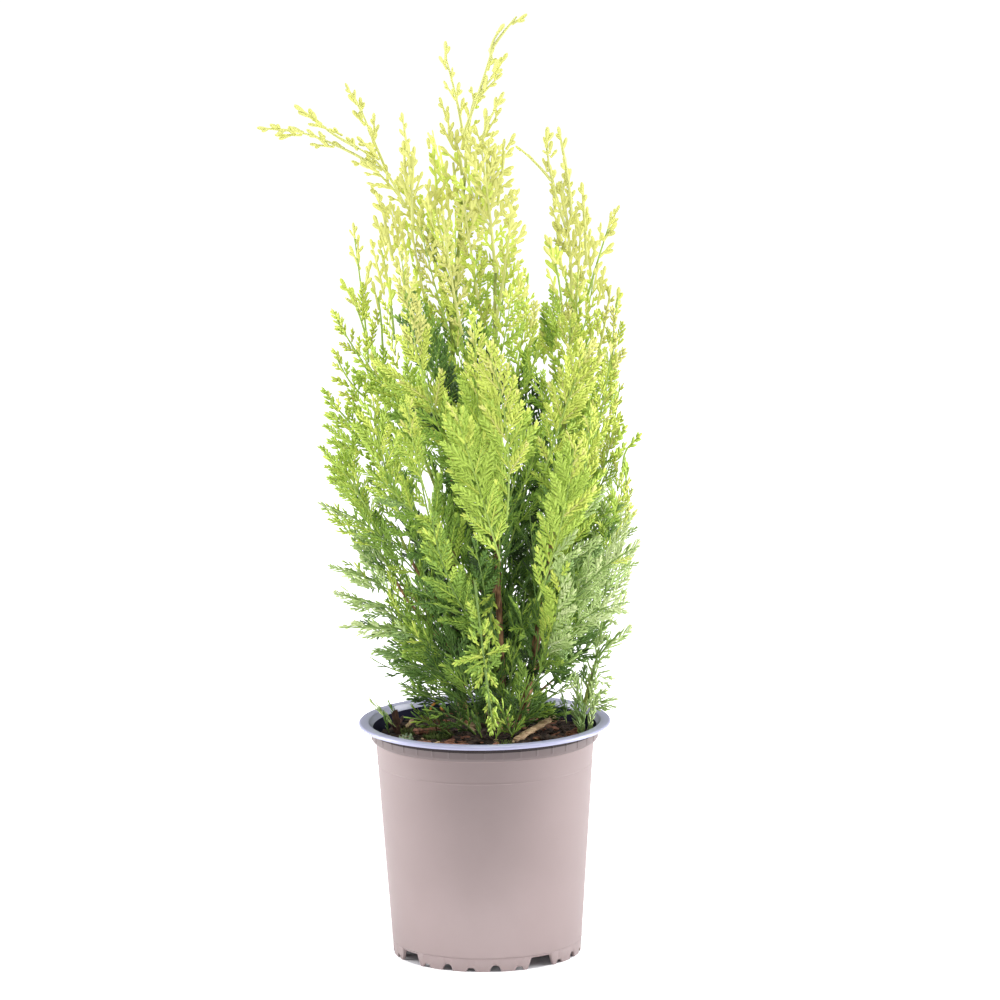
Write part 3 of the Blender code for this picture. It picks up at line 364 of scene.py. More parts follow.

# Plain leaf colours, from the shaded heart of the plant to its sunlit tips. The gold of the tips is partly the plant's
# own colour; the darker and lighter tints dealt out by place are also painted shade and painted light. Low on the
# outside they are greyer.
TINTS = (
    ("deep", (0.048, 0.092, 0.026)),
    ("green", (0.115, 0.220, 0.044)),
    ("fresh", (0.242, 0.394, 0.060)),
    ("lime", (0.435, 0.598, 0.090)),
    ("citrine", (0.595, 0.700, 0.120)),
    ("gold", (0.660, 0.668, 0.197)),
    ("sage", (0.250, 0.390, 0.120)),
    ("pale", (0.440, 0.590, 0.200)),
    ("frost", (0.590, 0.700, 0.320)),
)
TINT_LIMITS = (0.02, 0.20, 0.42, 0.68, 0.98)
WARM = (0, 1, 2, 3, 4, 5)
COOL = (0, 1, 6, 7, 8, 8)


def plain_material(name, colour, roughness, specular=0.4):
    made = bpy.data.materials.new(name)
    made.use_nodes = True
    shader = made.node_tree.nodes["Principled BSDF"]
    shader.inputs["Base Color"].default_value = (*colour, 1)
    shader.inputs["Roughness"].default_value = roughness
    shader.inputs["Specular IOR Level"].default_value = specular
    return made


def mottled_material(name, dark, light, scale, roughness, bump=0.2, stretch=(1, 1, 1), detail=6.0):
    """A surface whose colour and relief wander between two tones with a noise in the object's own space."""
    made = plain_material(name, dark, roughness)
    tree = made.node_tree
    shader = tree.nodes["Principled BSDF"]
    place = tree.nodes.new("ShaderNodeTexCoord")
    spread = tree.nodes.new("ShaderNodeMapping")
    spread.inputs["Scale"].default_value = stretch
    grain = tree.nodes.new("ShaderNodeTexNoise")
    grain.inputs["Scale"].default_value = scale
    grain.inputs["Detail"].default_value = detail
    ramp = tree.nodes.new("ShaderNodeValToRGB")
    ramp.color_ramp.elements[0].position = 0.35
    ramp.color_ramp.elements[0].color = (*dark, 1)
    ramp.color_ramp.elements[1].position = 0.68
    ramp.color_ramp.elements[1].color = (*light, 1)
    relief = tree.nodes.new("ShaderNodeBump")
    relief.inputs["Strength"].default_value = bump
    relief.inputs["Distance"].default_value = 0.0006
    tree.links.new(place.outputs["Object"], spread.inputs["Vector"])
    tree.links.new(spread.outputs["Vector"], grain.inputs["Vector"])
    tree.links.new(grain.outputs["Fac"], ramp.inputs["Fac"])
    tree.links.new(ramp.outputs["Color"], shader.inputs["Base Color"])
    tree.links.new(grain.outputs["Fac"], relief.inputs["Height"])
    tree.links.new(relief.outputs["Normal"], shader.inputs["Normal"])
    return made


def mesh_object(name, points, faces, surface, smooth=True):
    """An object from arrays of points and triangles."""
    points = np.asarray(points, np.float32)
    faces = np.asarray(faces, np.int32)
    mesh = bpy.data.meshes.new(name)
    mesh.vertices.add(len(points))
    mesh.vertices.foreach_set("co", points.ravel())
    mesh.loops.add(faces.size)
    mesh.loops.foreach_set("vertex_index", faces.ravel())
    mesh.polygons.add(len(faces))
    mesh.polygons.foreach_set("loop_start", np.arange(0, faces.size, 3, dtype=np.int32))
    mesh.update(calc_edges=True)
    mesh.polygons.foreach_set("use_smooth", np.full(len(faces), smooth))
    mesh.materials.append(surface)
    made = bpy.data.objects.new(name, mesh)
    bpy.context.scene.collection.objects.link(made)
    return made


class Path:
    """The centre line of a limb: a quadratic curve from start towards bend to end."""

    def __init__(self, start, bend, end):
        self.start, self.bend, self.end = (np.asarray(place, float) for place in (start, bend, end))
        marks = np.array([self.point(step / 24) for step in range(25)])
        self.length = np.linalg.norm(np.diff(marks, axis=0), axis=1).sum()

    def point(self, t):
        return self.start * (1 - t) ** 2 + self.bend * (2 * t * (1 - t)) + self.end * t**2

    def heading(self, t):
        return unit((self.bend - self.start) * (1 - t) + (self.end - self.bend) * t)

    def at_height(self, height):
        low, high = 0.0, 1.0
        for _ in range(30):
            middle = (low + high) / 2
            low, high = (middle, high) if self.point(middle)[2] < height else (low, middle)
        return low


def unit(vector):
    return vector / np.linalg.norm(vector)


def stem_path(stem):
    foot = np.array([*stem.foot, 0.0]) * MM
    foot[2] = SOIL_HEIGHT + GAP
    tip = np.array(stem.tip) * MM
    return Path(foot, (foot + tip) / 2 + np.array([*stem.bow, 0]) * MM * 2, tip)


def stem_radius(stem, path, t):
    height = path.point(t)[2] - path.start[2]
    taper = stem.foot_radius + (stem.tip_radius - stem.foot_radius) * t
    return (taper + STEM_FLARE * stem.foot_radius * math.exp(-height / FLARE_HEIGHT)) * MM


def frond_path(frond, stems):
    stem = stems[frond.stem]
    tip = np.array(frond.tip) * MM
    start = stem.end if frond.leaves is None else stem.point(stem.at_height(frond.leaves * MM))
    bend = start + (tip - start) * frond.out
    bend[2] = start[2] + (tip[2] - start[2]) * frond.rise
    return Path(start, bend, tip)


def tube_arrays(middles, radii, sides, relief=None):
    """Points and triangles of a closed tube through the middles. relief gives each point's own radius factor."""
    middles = np.asarray(middles)
    headings = np.gradient(middles, axis=0)
    headings /= np.linalg.norm(headings, axis=1)[:, None]
    across = np.cross(headings[0], [0.3, 0.9, 0.1])
    angles = np.arange(sides) * math.tau / sides
    rings = []
    for index, (middle, heading) in enumerate(zip(middles, headings)):
        across = unit(across - heading * np.dot(across, heading))
        side = np.cross(heading, across)
        outward = np.cos(angles)[:, None] * across + np.sin(angles)[:, None] * side
        radius = radii[index] * (relief[index] if relief is not None else 1)
        rings.append(middle + outward * np.broadcast_to(radius, sides)[:, None])
    points = np.concatenate(rings + [middles[:1], middles[-1:]])
    faces = []
    count = len(middles)
    corner = np.arange(sides)
    after = (corner + 1) % sides
    for ring in range(count - 1):
        low, high = ring * sides, (ring + 1) * sides
        faces.append(np.stack([low + corner, low + after, high + after], 1))
        faces.append(np.stack([low + corner, high + after, high + corner], 1))
    foot, top, last = count * sides, count * sides + 1, (count - 1) * sides
    faces.append(np.stack([np.full(sides, foot), after, corner], 1))
    faces.append(np.stack([np.full(sides, top), last + corner, last + after], 1))
    return points, np.concatenate(faces)


class Pile:
    """Arrays of points and triangles that are joined into one piece."""

    def __init__(self):
        self.points, self.faces, self.count = [], [], 0

    def add(self, points, faces):
        self.points.append(points)
        self.faces.append(faces + self.count)
        self.count += len(points)

    def make(self, name, surface, smooth=True):
        return mesh_object(name, np.concatenate(self.points), np.concatenate(self.faces), surface, smooth)


def bark_relief(rings, sides, length, radius, seed):
    """Radius factors of thin bark that flakes and splits lengthwise."""
    factors = np.empty((rings, sides))
    for ring in range(rings):
        along = ring / rings * length
        for corner in range(sides):
            angle = math.tau * corner / sides
            place = Vector((math.cos(angle) * 2.2, math.sin(angle) * 2.2, along * 160 + seed))
            flakes = noise.fractal(place, 0.6, 2.1, 4)
            fine = noise.noise(Vector((math.cos(angle) * 7, math.sin(angle) * 7, along * 700 + seed)))
            factors[ring, corner] = 1 + 0.16 * flakes + 0.05 * fine
    return factors


def green_above(made, surface, height):
    """Give a limb's faces above a height the leafy bark of young wood."""
    made.data.materials.append(surface)
    centres = np.empty(len(made.data.polygons) * 3, np.float32)
    made.data.polygons.foreach_get("center", centres)
    made.data.polygons.foreach_set("material_index", (centres[2::3] > height).astype(np.int32))


YOUNG_WOOD = {"stem_left": 0.40, "stem_centre": 0.36, "stem_right": 0.37, "stem_small": 0.0}
YOUNG_BOUGHS = 0.30


def make_limbs(stems, paths):
    """Bark-covered stems and boughs, each of which replaces its node."""
    young = mottled_material("young_bark", (0.16, 0.22, 0.04), (0.46, 0.50, 0.12), 300, 0.6, 0.4, (1, 1, 0.4))
    bark = mottled_material("bark_surface", (0.125, 0.060, 0.032), (0.64, 0.35, 0.18), 420, 0.8, 0.8, (1, 1, 0.25))
    made = {}
    for index, stem in enumerate(STEMS):
        path = stems[stem.name]
        rings, sides = max(20, int(path.length / (1.6 * MM))), 22
        places = np.linspace(0, 1, rings)
        middles = [path.point(t) for t in places]
        radii = [stem_radius(stem, path, t) * 0.93 for t in places]
        relief = bark_relief(rings, sides, path.length, radii[0], index * 17.3)
        made[stem.name] = mesh_object("bark_" + stem.name, *tube_arrays(middles, radii, sides, relief), bark)
        green_above(made[stem.name], young, YOUNG_WOOD[stem.name])
    for index, frond in enumerate(FRONDS):
        if frond.leaves is None or frond.bare < BOUGH_SHARE:
            continue
        path = paths[frond.name]
        rings, sides = max(12, int(path.length * frond.bare / (2 * MM))), 12
        places = np.linspace(0.01, frond.bare, rings)
        middles = [path.point(t) for t in places]
        radii = [(BOUGH_ROOT_RADIUS + (BOUGH_TIP_RADIUS - BOUGH_ROOT_RADIUS) * t / frond.bare) * 0.93 for t in places]
        relief = bark_relief(rings, sides, path.length * frond.bare, radii[0], 90 + index * 7.7)
        name = "bough_" + frond.name
        made[name] = mesh_object("bark_" + name, *tube_arrays(middles, radii, sides, relief), bark)
        green_above(made[name], young, YOUNG_BOUGHS)
    return made


def twiglet(root, way, side, length, width, thickness, stations, sides):
    """A closed twiglet of overlapping scale leaves, that swells and tapers through its stations to a blunt tip."""
    up = np.cross(way, side)
    angles = np.arange(sides) * math.tau / sides + (0 if sides == 4 else math.pi / 6)
    ring = np.cos(angles)[:, None] * side * width / 2 + np.sin(angles)[:, None] * up * thickness / 2
    points = [root[None]] + [root + way * (length * share) + ring * swell for share, swell in stations]
    points.append((root + way * length)[None])
    corner = np.arange(sides)
    after = (corner + 1) % sides
    last = 1 + (len(stations) - 1) * sides
    faces = [np.stack([np.zeros(sides, int), 1 + after, 1 + corner], 1)]
    for low in range(1, last, sides):
        faces.append(np.stack([low + corner, low + after, low + sides + after], 1))
        faces.append(np.stack([low + corner, low + sides + after, low + sides + corner], 1))
    faces.append(np.stack([np.full(sides, last + sides), last + corner, last + after], 1))
    return np.concatenate(points), np.concatenate(faces)


# How each kind of spray branches: the stations (share of the length, swell) and sides of a twiglet, spacing along
# the axis, reach as a share of the spray and at most, width, thickness, angles in degrees at the root and tip, lobes
# per twiglet, and how long the tip is
Habit = namedtuple("Habit", "stations sides step reach most width thickness wide_angle slim_angle lobes head")
BUD_STATIONS = ((0.08, 0.50), (0.34, 0.88), (0.72, 1.0), (0.93, 0.60))
LEAF_STATIONS = ((0.24, 0.92), (0.76, 0.74))
HABITS = {
    "bud": Habit(BUD_STATIONS, 4, 4.8 * MM, 0.44, 8.5 * MM, 2.9 * MM, 1.7 * MM, 31, 22, 0.3, 8.5 * MM),
    "club": Habit(BUD_STATIONS[1:], 4, 2.9 * MM, 0.36, 9.0 * MM, 2.6 * MM, 1.5 * MM, 31, 22, 0.4, 6.5 * MM),
    "leaf": Habit(LEAF_STATIONS, 3, 1.75 * MM, 0.35, 10.2 * MM, 2.5 * MM, 1.1 * MM, 32, 22, 0.45, 6.5 * MM),
    "needle": Habit(LEAF_STATIONS, 3, 1.9 * MM, 0.42, 13 * MM, 1.7 * MM, 0.9 * MM, 25, 14, 0.35, 8.0 * MM),
}
SMOOTH_KINDS = ("leaf", "needle")
TEMPLATE_LENGTHS = (9 * MM, 14 * MM, 22 * MM, 32 * MM, 44 * MM, 58 * MM)
VARIANTS = 4
TIP_SHARE = 0.78
AXIS_WIDTH = 0.8
AXIS_STATIONS = ((0.06, 1.0), (0.45, 0.85), (0.85, 0.62))


def spray_template(length, habit, rng):
    """One flat spray along +X in its own plane: an axis with two ranks of twiglets that branch again.

    It comes as two arrays of faces on the same points: the inner twiglets, and the paler axis and tip."""
    points, inner, tips, count = [], [], [], 0
    x_axis, _, z_axis = np.eye(3)

    def put(root, way, size, width, outer, stations=habit.stations):
        nonlocal count
        side = unit(np.cross(z_axis, way))
        width = min(width, size * 0.5)
        thickness = habit.thickness * width / habit.width
        made, faces = twiglet(root, way, side, size, width, thickness, stations, habit.sides)
        points.append(made)
        (tips if outer else inner).append(faces + count)
        count += len(made)

    head = min(habit.head, length * 0.9)
    put(x_axis * 0, x_axis, length - head * 0.5, habit.width * AXIS_WIDTH, True, AXIS_STATIONS)
    put(x_axis * (length - head), x_axis, head, habit.width, True)
    nodes = int((length - head) / habit.step)
    for node in range(nodes):
        along = (0.5 + node) / nodes * (1 - head * 0.8 / length) + 0.03
        sign = 1 if node % 2 else -1
        swell = min(1, 0.55 + along * 2.2) * (1 - 0.62 * max(0, along - 0.25) / 0.75)
        size = max(min(length * habit.reach, habit.most) * swell * rng.uniform(0.78, 1.22), habit.width * 2)
        angle = math.radians(habit.wide_angle + (habit.slim_angle - habit.wide_angle) * along + rng.uniform(-5, 5))
        way = unit(np.array([math.cos(angle), sign * math.sin(angle), rng.uniform(-0.12, 0.12)]))
        root = x_axis * along * length + z_axis * rng.uniform(-0.25, 0.25) * MM
        put(root, way, size, habit.width, along > TIP_SHARE)
        lobes = int(habit.lobes + rng.random()) if size > 2.4 * habit.width else 0
        for _ in range(lobes):
            turn = math.radians(rng.uniform(17, 25)) * (1 if rng.random() < 0.7 else -1) * sign
            branch = unit(way * math.cos(turn) + np.cross(z_axis, way) * math.sin(turn))
            put(root + way * size * rng.uniform(0.30, 0.50), branch, size * 0.55, habit.width * 0.9, along > TIP_SHARE)
    return np.concatenate(points), np.concatenate(inner or [np.zeros((0, 3), int)]), np.concatenate(tips)


def make_templates():
    rng = np.random.default_rng(SEED + 3)
    return {
        (kind, size): [spray_template(length, habit, rng) for _ in range(VARIANTS)]
        for kind, habit in HABITS.items()
        for size, length in enumerate(TEMPLATE_LENGTHS)
    }


Spray = namedtuple("Spray", "root way face length tint bend kind cool")

# The crown's reach to the left, right, front and back at each height, in millimetres
CROWN = np.array([
    # height, left, right, depth
    (180, -60, 70, 55), (210, -84, 88, 78), (250, -100, 100, 96), (300, -112, 106, 104), (350, -118, 108, 106),
    (400, -122, 109, 106), (450, -116, 105, 100), (500, -106, 100, 92), (550, -88, 97, 78), (580, -76, 68, 66),
    (620, -66, 56, 52), (640, -60, 36, 44), (680, -40, 30, 30), (712, -20, 40, 16),
]) * MM


def reach_share(place):
    """How far out a place is, as a share of the crown's reach at its height."""
    left, right, depth = (np.interp(place[2], CROWN[:, 0], CROWN[:, column]) for column in (1, 2, 3))
    middle, half = (left + right) / 2, (right - left) / 2
    return math.hypot((place[0] - middle) / half, place[1] / depth)


def kept_length(root, way, length):
    """A spray that would leave the crown is shortened to its edge."""
    for share in (1.0, 0.85, 0.7, 0.55, 0.42):
        if reach_share(root + way * length * share) < 1.0:
            return length * share
    return length * 0.42


def seen_place(point):
    """Where a point is seen in the picture's plane through the pot's axis, as x and z."""
    camera = np.array(CAMERA_PLACE)
    seen = camera + (point - camera) * camera[1] / (camera[1] - point[1])
    return seen[0], seen[2]


def in_window(point, sky_only=False):
    x, z = seen_place(point)
    for start_x, start_z, end_x, end_z, half, front in WINDOWS:
        if front and (sky_only or point[1] > FRONT_DEPTH):
            continue
        run = np.array([end_x - start_x, end_z - start_z]) * MM
        away = np.array([x - start_x * MM, z - start_z * MM])
        share = np.clip(away @ run / max(run @ run, 1e-9), 0, 1)
        if np.linalg.norm(away - run * share) < half * MM:
            return True
    return False


def open_share(path):
    """How far along a path the sky is first seen."""
    for t in np.linspace(0.1, 1, 19):
        if in_window(path.point(t), True):
            return t - 0.04
    return 1.0


def window_length(root, way, length):
    """A spray that would cross a window ends short of it, or is left out, which is zero."""
    for share in (0.35, 0.6, 0.8, 1.0):
        if in_window(root + way * length * share):
            return length * (share - 0.22) if share > 0.7 else 0.0
    return length


def score_of(place, key):
    """How bright a spray's tint is: gold at the top and outside, green below and in the heart. The gold at the top is
    partly the plant's own colour; the rest is painted light and shade: lighter outside, on the right and low on the
    outside, and lighter or darker by the key.
    """
    outward = min(reach_share(place), 1.1)
    # right and low lift the tint on the right side and low on the outside, a painted light
    right = np.interp(place[0], (0.02, 0.08), (0, 0.11)) * np.interp(place[2], (0.30, 0.42), (0.1, 1))
    low = np.interp(outward, (0.75, 1.0), (0, 0.18)) * np.interp(place[2], (0.30, 0.40), (1, 0))
    height = np.interp(place[2], (0.18, 0.26, 0.34, 0.42, 0.48, 0.57), (0.08, 0.31, 0.42, 0.58, 0.85, 1.14))
    return height + 0.21 * (outward - 0.68) + right + low + key + dice.normal(0, 0.07)


def is_cool(place):
    """Whether a spray is one of the greyer ones, low on the outside."""
    return place[2] < 0.33 + dice.normal(0, 0.02) and abs(place[0]) > 0.055 and reach_share(place) > 0.72


def kind_at(place, front):
    height = place[2] + dice.normal(0, 0.02)
    if height > 0.535:
        return "club"
    return "leaf" if height > (0.15 if front else 0.36) else "needle"


def spray_length(breadth, along):
    """How long the sprays are at a share of the leafy way: longest below the middle, short at the tip."""
    return breadth * MM * (1.25 * math.sin(math.pi * (0.28 + 0.62 * along)) + 0.12)


def grow(path, first, breadth, facing, sprays, step, key=0.0, front=False, free=False, bare=0.0, stop=1.0, loose=1.0):
    """Deal sprays along a twig in two ranks, and one at its tip.

    They are small before bare, there are none past stop, and loose says how freely they leave the plume's plane."""
    normal = np.array([math.sin(math.radians(facing)), -math.cos(math.radians(facing)), 0])
    count = max(4, int((1 - first) * path.length / step))
    for index in range(count + 1):
        along = index / count
        t = first + (1 - first) * along * 0.95
        if t > stop:
            break
        heading = path.heading(t)
        face = unit(normal - heading * np.dot(normal, heading))
        side = np.cross(heading, face) * (1 if index % 2 else -1)
        root = path.point(t)
        if index == count:
            way = unit(path.end - root)
            length = np.linalg.norm(path.end - root)
        else:
            spread = math.radians(SPRAY_ANGLE_LOW + (SPRAY_ANGLE_HIGH - SPRAY_ANGLE_LOW) * along + dice.uniform(-7, 7) - 6)
            way = unit(heading * math.cos(spread) + side * math.sin(spread) + face * dice.normal(0, 0.15 * loose))
            length = spray_length(breadth, along) * dice.uniform(0.80, 1.08) * (0.62 if t < bare else 1)
            if not free:
                length = kept_length(root, way, length)
        roll = dice.normal(0, 0.36 * loose)
        turned = unit(face - way * np.dot(face, way))
        turned = turned * math.cos(roll) + np.cross(way, turned) * math.sin(roll)
        bend = turned * dice.normal(0, 0.06) + np.array([0, 0, dice.normal(0.03, 0.05)])
        length = window_length(root, way, length)
        if not length:
            continue
        middle = root + way * length * 0.6
        size = max(length, 8.5 * MM)
        sprays.append(Spray(root, way, turned, size, score_of(middle, key), bend, kind_at(middle, front), is_cool(middle)))


def side_frond(path, t, facing, share, turn, push):
    """A smaller frond that leaves a twig at t, turned out of its plane and rising beside it."""
    heading = path.heading(t)
    normal = np.array([math.sin(math.radians(facing)), -math.cos(math.radians(facing)), 0])
    side = np.cross(heading, unit(normal - heading * np.dot(normal, heading)))
    root = path.point(t)
    size = (1 - t) * path.length * share
    way = unit(heading + side * turn * 0.38 + normal * dice.uniform(*push))
    while size > 30 * MM and reach_share(root + way * size) > 0.96:
        size *= 0.9
    bend = root + unit(way + side * turn * 0.2) * size * 0.5
    end = root + way * size + np.array([0, 0, 0.06 * size])
    return Path(root, bend, end)


def stem_frond(path, t, azimuth, size, out_share):
    """A short frond that clothes a stem, rising away from it."""
    root = path.point(t)
    out = np.array([math.sin(azimuth), -math.cos(azimuth), 0])
    up = np.array([0, 0, 1.0])
    bend = root + unit(out * (out_share + 0.2) + up * (1 - out_share)) * size * 0.5
    return Path(root, bend, root + unit(out * out_share + up * (1.1 - out_share)) * size)


FREE_FRONDS = ("front_hanging", "leader", "leader_left", "arch", "small_frond", "right_leader", "crest_left", "crest_right")
# How wide a frond's sprays are as a share of its breadth, and where along it the traced sprays take over
Dress = namedtuple("Dress", "width stop beside")
DRESSES = {
    "leader": Dress(0.40, 0.40, 0), "leader_left": Dress(0.50, 0.35, 0), "crest_right": Dress(0.70, 0.60, 0),
    "crest_left": Dress(0.75, 0.60, 1), "arch": Dress(0.34, 0.60, 0), "arch_upper": Dress(0.42, 0.50, 0),
    "spear": Dress(0.55, 0.62, 0), "gold": Dress(0.80, 0.80, 1), "gold_right": Dress(0.50, 0.70, 0),
    "right_leader": Dress(0.60, 0.62, 0), "right_spear": Dress(0.60, 0.70, 1), "right_outer": Dress(0.50, 0.70, 1),
    "right_inner": Dress(0.45, 0.62, 0), "right_edge": Dress(0.65, 0.85, 1), "right_middle": Dress(0.70, 0.85, 2),
    "right_side": Dress(0.75, 0.85, 2), "right_low": Dress(0.75, 0.90, 2), "right_skirt": Dress(0.75, 0.90, 2),
    "small_frond": Dress(0.5, 0.5, 0), "front_hanging": Dress(0.62, 1.0, 0), "left_plume": Dress(0.46, 0.62, 1), "left_upper": Dress(0.55, 0.75, 1),
    "left_edge": Dress(0.52, 0.70, 2), "left_middle": Dress(0.62, 0.75, 2), "left_side": Dress(0.50, 0.80, 1),
    "left_low": Dress(0.45, 0.85, 1), "left_skirt": Dress(0.45, 0.85, 1), "left_hem": Dress(0.45, 0.80, 1),
    "front_upper": Dress(0.75, 1.0, 3), "front_left": Dress(0.72, 1.0, 3), "front_middle": Dress(0.72, 1.0, 3),
    "front_right": Dress(0.72, 1.0, 3), "front_small": Dress(0.80, 1.0, 2), "front_hem": Dress(0.80, 1.0, 2),
    "back_upper": Dress(0.50, 0.75, 2),
}
PLAIN_DRESS = Dress(1.0, 1.0, 4)
SIDE_PLACES = (0.30, 0.14, 0.47, 0.62)
GOLDEN_ANGLE = math.radians(137.5)


def plume_path(plume):
    """The way of a plume through its middle."""
    root, middle, tip = (np.array(place) * MM for place in (plume.root, plume.middle, plume.tip))
    return Path(root, 2 * middle - (root + tip) / 2, tip)


def grow_named(paths, sprays, twigs):
    """The fronds of the part's source, each with smaller ones beside it, and the plumes between them."""
    for frond in FRONDS:
        path = paths[frond.name]
        dress = DRESSES.get(frond.name, PLAIN_DRESS)
        front, back = frond.name.startswith("front"), frond.name.startswith("back")
        free = frond.name in FREE_FRONDS
        # Front fronds get a lighter tint and back fronds a darker one, a painted light and shade; a few fronds have
        # their own key.
        key = 0.09 if front else -0.08 if back else 0.0
        key = {"front_hanging": 0.20, "small_frond": 0.20, "front_small": 0.02, "front_upper": 0.14}.get(frond.name, key)
        step = 7.4 if free else 6.4 if path.end[2] > 0.58 else 5.2
        first = max(frond.bare * 0.35, 0.03)
        grow(path, first, frond.breadth * dress.width, frond.facing, sprays, step * MM, key, front, free, frond.bare, dress.stop, 0.75)
        last = min(0.985, dress.stop + 0.03, open_share(path) if frond.name.startswith("left") else 1.0)
        twigs.append((path, last, TWIG_ROOT_RADIUS, TWIG_TIP_RADIUS))
        if path.length < 0.10:
            continue
        for index, t in enumerate(SIDE_PLACES[:dress.beside]):
            if t < frond.bare * 0.4:
                continue
            push = (-0.50, -0.10) if front or back else (-0.40, 0.30)
            smaller = side_frond(path, t, frond.facing, dice.uniform(0.52, 0.70), 1 if index % 2 else -1, push)
            facing = frond.facing + dice.uniform(-50, 50)
            # Side fronds get a darker tint, the more so near the foot of their frond, a painted shade.
            inner = -0.24 if t < 0.4 else -0.14
            end = open_share(smaller)
            width = frond.breadth * 0.74 * dress.width**0.5
            grow(smaller, 0.12, width, facing, sprays, 6.4 * MM, key + inner, front, stop=end)
            twigs.append((smaller, min(end, 0.985), TWIG_ROOT_RADIUS * 0.75, TWIG_TIP_RADIUS))
    for plume in PLUMES:
        path = plume_path(plume)
        front = path.end[1] < -0.03 and plume.name.startswith(("middle", "right_l", "left_l", "hang", "heart"))
        stop = 0.80 if "fan" in plume.name else 1.0
        width = plume.breadth * (0.62 if "fan" in plume.name else 0.85 if plume.root[2] > 300 else 1.0)
        grow(path, 0.06, width, plume.facing, sprays, plume.step * MM, plume.key, front, True, 0.0, stop, 0.7)
        twigs.append((path, 0.985, TWIG_ROOT_RADIUS * 0.85, TWIG_TIP_RADIUS))


def grow_traced(sprays, twigs):
    """The traced sprays, each turned a little out of the plane they were traced in."""
    for name, depth, key, rows in TRACED:
        for x, z, tip_x, tip_z in rows:
            root = np.array([x, depth + dice.normal(0, 1.5), z]) * MM
            tip = np.array([tip_x, depth + dice.normal(0, 3), tip_z]) * MM
            way, length = unit(tip - root), np.linalg.norm(tip - root)
            face = unit(np.array([dice.normal(0, 0.35), -1, dice.normal(0, 0.25)]))
            face = unit(face - way * np.dot(face, way))
            middle = (root + tip) / 2
            kind = "bud" if middle[2] > 0.50 else "leaf" if middle[2] > 0.36 or name == "hanging" else "needle"
            sprays.append(Spray(root, way, face, length, score_of(middle, key), face * 0.0, kind, is_cool(middle)))
    for depth, *flat in TRACED_TWIGS:
        root, middle, tip = (np.array([flat[place], depth, flat[place + 1]]) * MM for place in (0, 2, 4))
        twigs.append((Path(root, 2 * middle - (root + tip) / 2, tip), 1.0, TWIG_ROOT_RADIUS * 0.95, TWIG_TIP_RADIUS * 1.5))


def grow_all(stems, paths):
    """Every spray of the plant, and the twigs that carry them."""
    sprays, twigs = [], []
    grow_named(paths, sprays, twigs)
    grow_traced(sprays, twigs)
    for order, name in enumerate(("stem_left", "stem_centre", "stem_right")):
        path = stems[name]
        heights = [*np.arange(0.189, 0.30, 0.013), *np.arange(0.30, path.end[2] - 0.03, 0.024)]
        for index, height in enumerate(heights):
            t = path.at_height(height)
            azimuth = GOLDEN_ANGLE * index + order * 2.1
            size = np.interp(height, (0.18, 0.30, 0.60), (0.062, 0.095, 0.055))
            smaller = stem_frond(path, t, azimuth, size, 0.36)
            # The fronds that clothe the stems get a darker tint, a painted shade.
            end, key = open_share(smaller), -0.16
            grow(smaller, 0.15, 20, math.degrees(azimuth) + dice.uniform(-40, 40), sprays, 6.4 * MM, key, stop=end)
            twigs.append((smaller, min(end, 0.985), TWIG_ROOT_RADIUS * 0.75, TWIG_TIP_RADIUS))
        for index, height in enumerate(np.arange(0.176, 0.25, 0.0055)):
            azimuth = GOLDEN_ANGLE * index + order * 1.3 + 0.7
            size = np.interp(height, (0.176, 0.25), (0.046, 0.078)) * dice.uniform(0.8, 1.15)
            out = np.interp(height, (0.176, 0.25), (0.66, 0.50))
            smaller = stem_frond(path, path.at_height(height), azimuth, size, out)
            # These get a slightly darker tint, a painted shade.
            grow(smaller, 0.10, 21, math.degrees(azimuth) + dice.uniform(-70, 70), sprays, 5.6 * MM, -0.06)
            twigs.append((smaller, 0.985, TWIG_ROOT_RADIUS * 0.7, TWIG_TIP_RADIUS))
    grow(stems["stem_small"], 0.12, 18, -20, sprays, 6.5 * MM, 0.35)
    for root, way, length, tint, cool in SPRIGS:
        way = unit(np.array(way, float))
        face = unit(np.cross(way, [0.2, -0.3, 0.1]))
        sprays.append(Spray(np.array(root) * MM, way, face, length * MM, tint, np.zeros(3), "needle", cool))
    return sprays, twigs


# Sprigs that stand or lie at the edge of the compost: root, heading, length, tint score and whether greyish
SPRIGS = (
    ((-66, 4, 171), (-0.62, 0.05, 0.66), 33, 0.50, True), ((-64, 10, 171), (-0.35, 0.1, 0.8), 24, 0.10, False),
    ((-72, -8, 170), (-0.2, -0.2, 0.9), 20, 0.05, False), ((36, 34, 172), (0.95, 0.12, 0.10), 36, 0.35, False),
    ((44, 40, 171), (0.9, -0.25, 0.14), 26, 0.25, False), ((62, 14, 171), (-0.15, 0.05, 0.95), 30, 0.30, True),
    ((20, -30, 171), (0.45, -0.45, 0.75), 24, 0.22, False), ((-2, -34, 171), (-0.3, -0.2, 0.9), 26, 0.20, False),
    ((8, -40, 171), (0.2, -0.4, 0.7), 20, 0.36, False), ((-28, -2, 171), (-0.5, -0.5, 0.7), 30, 0.16, False),
    ((-38, 2, 171), (-0.6, -0.3, 0.7), 30, 0.24, False), ((-20, -10, 171), (0.1, -0.6, 0.8), 28, 0.12, False),
)


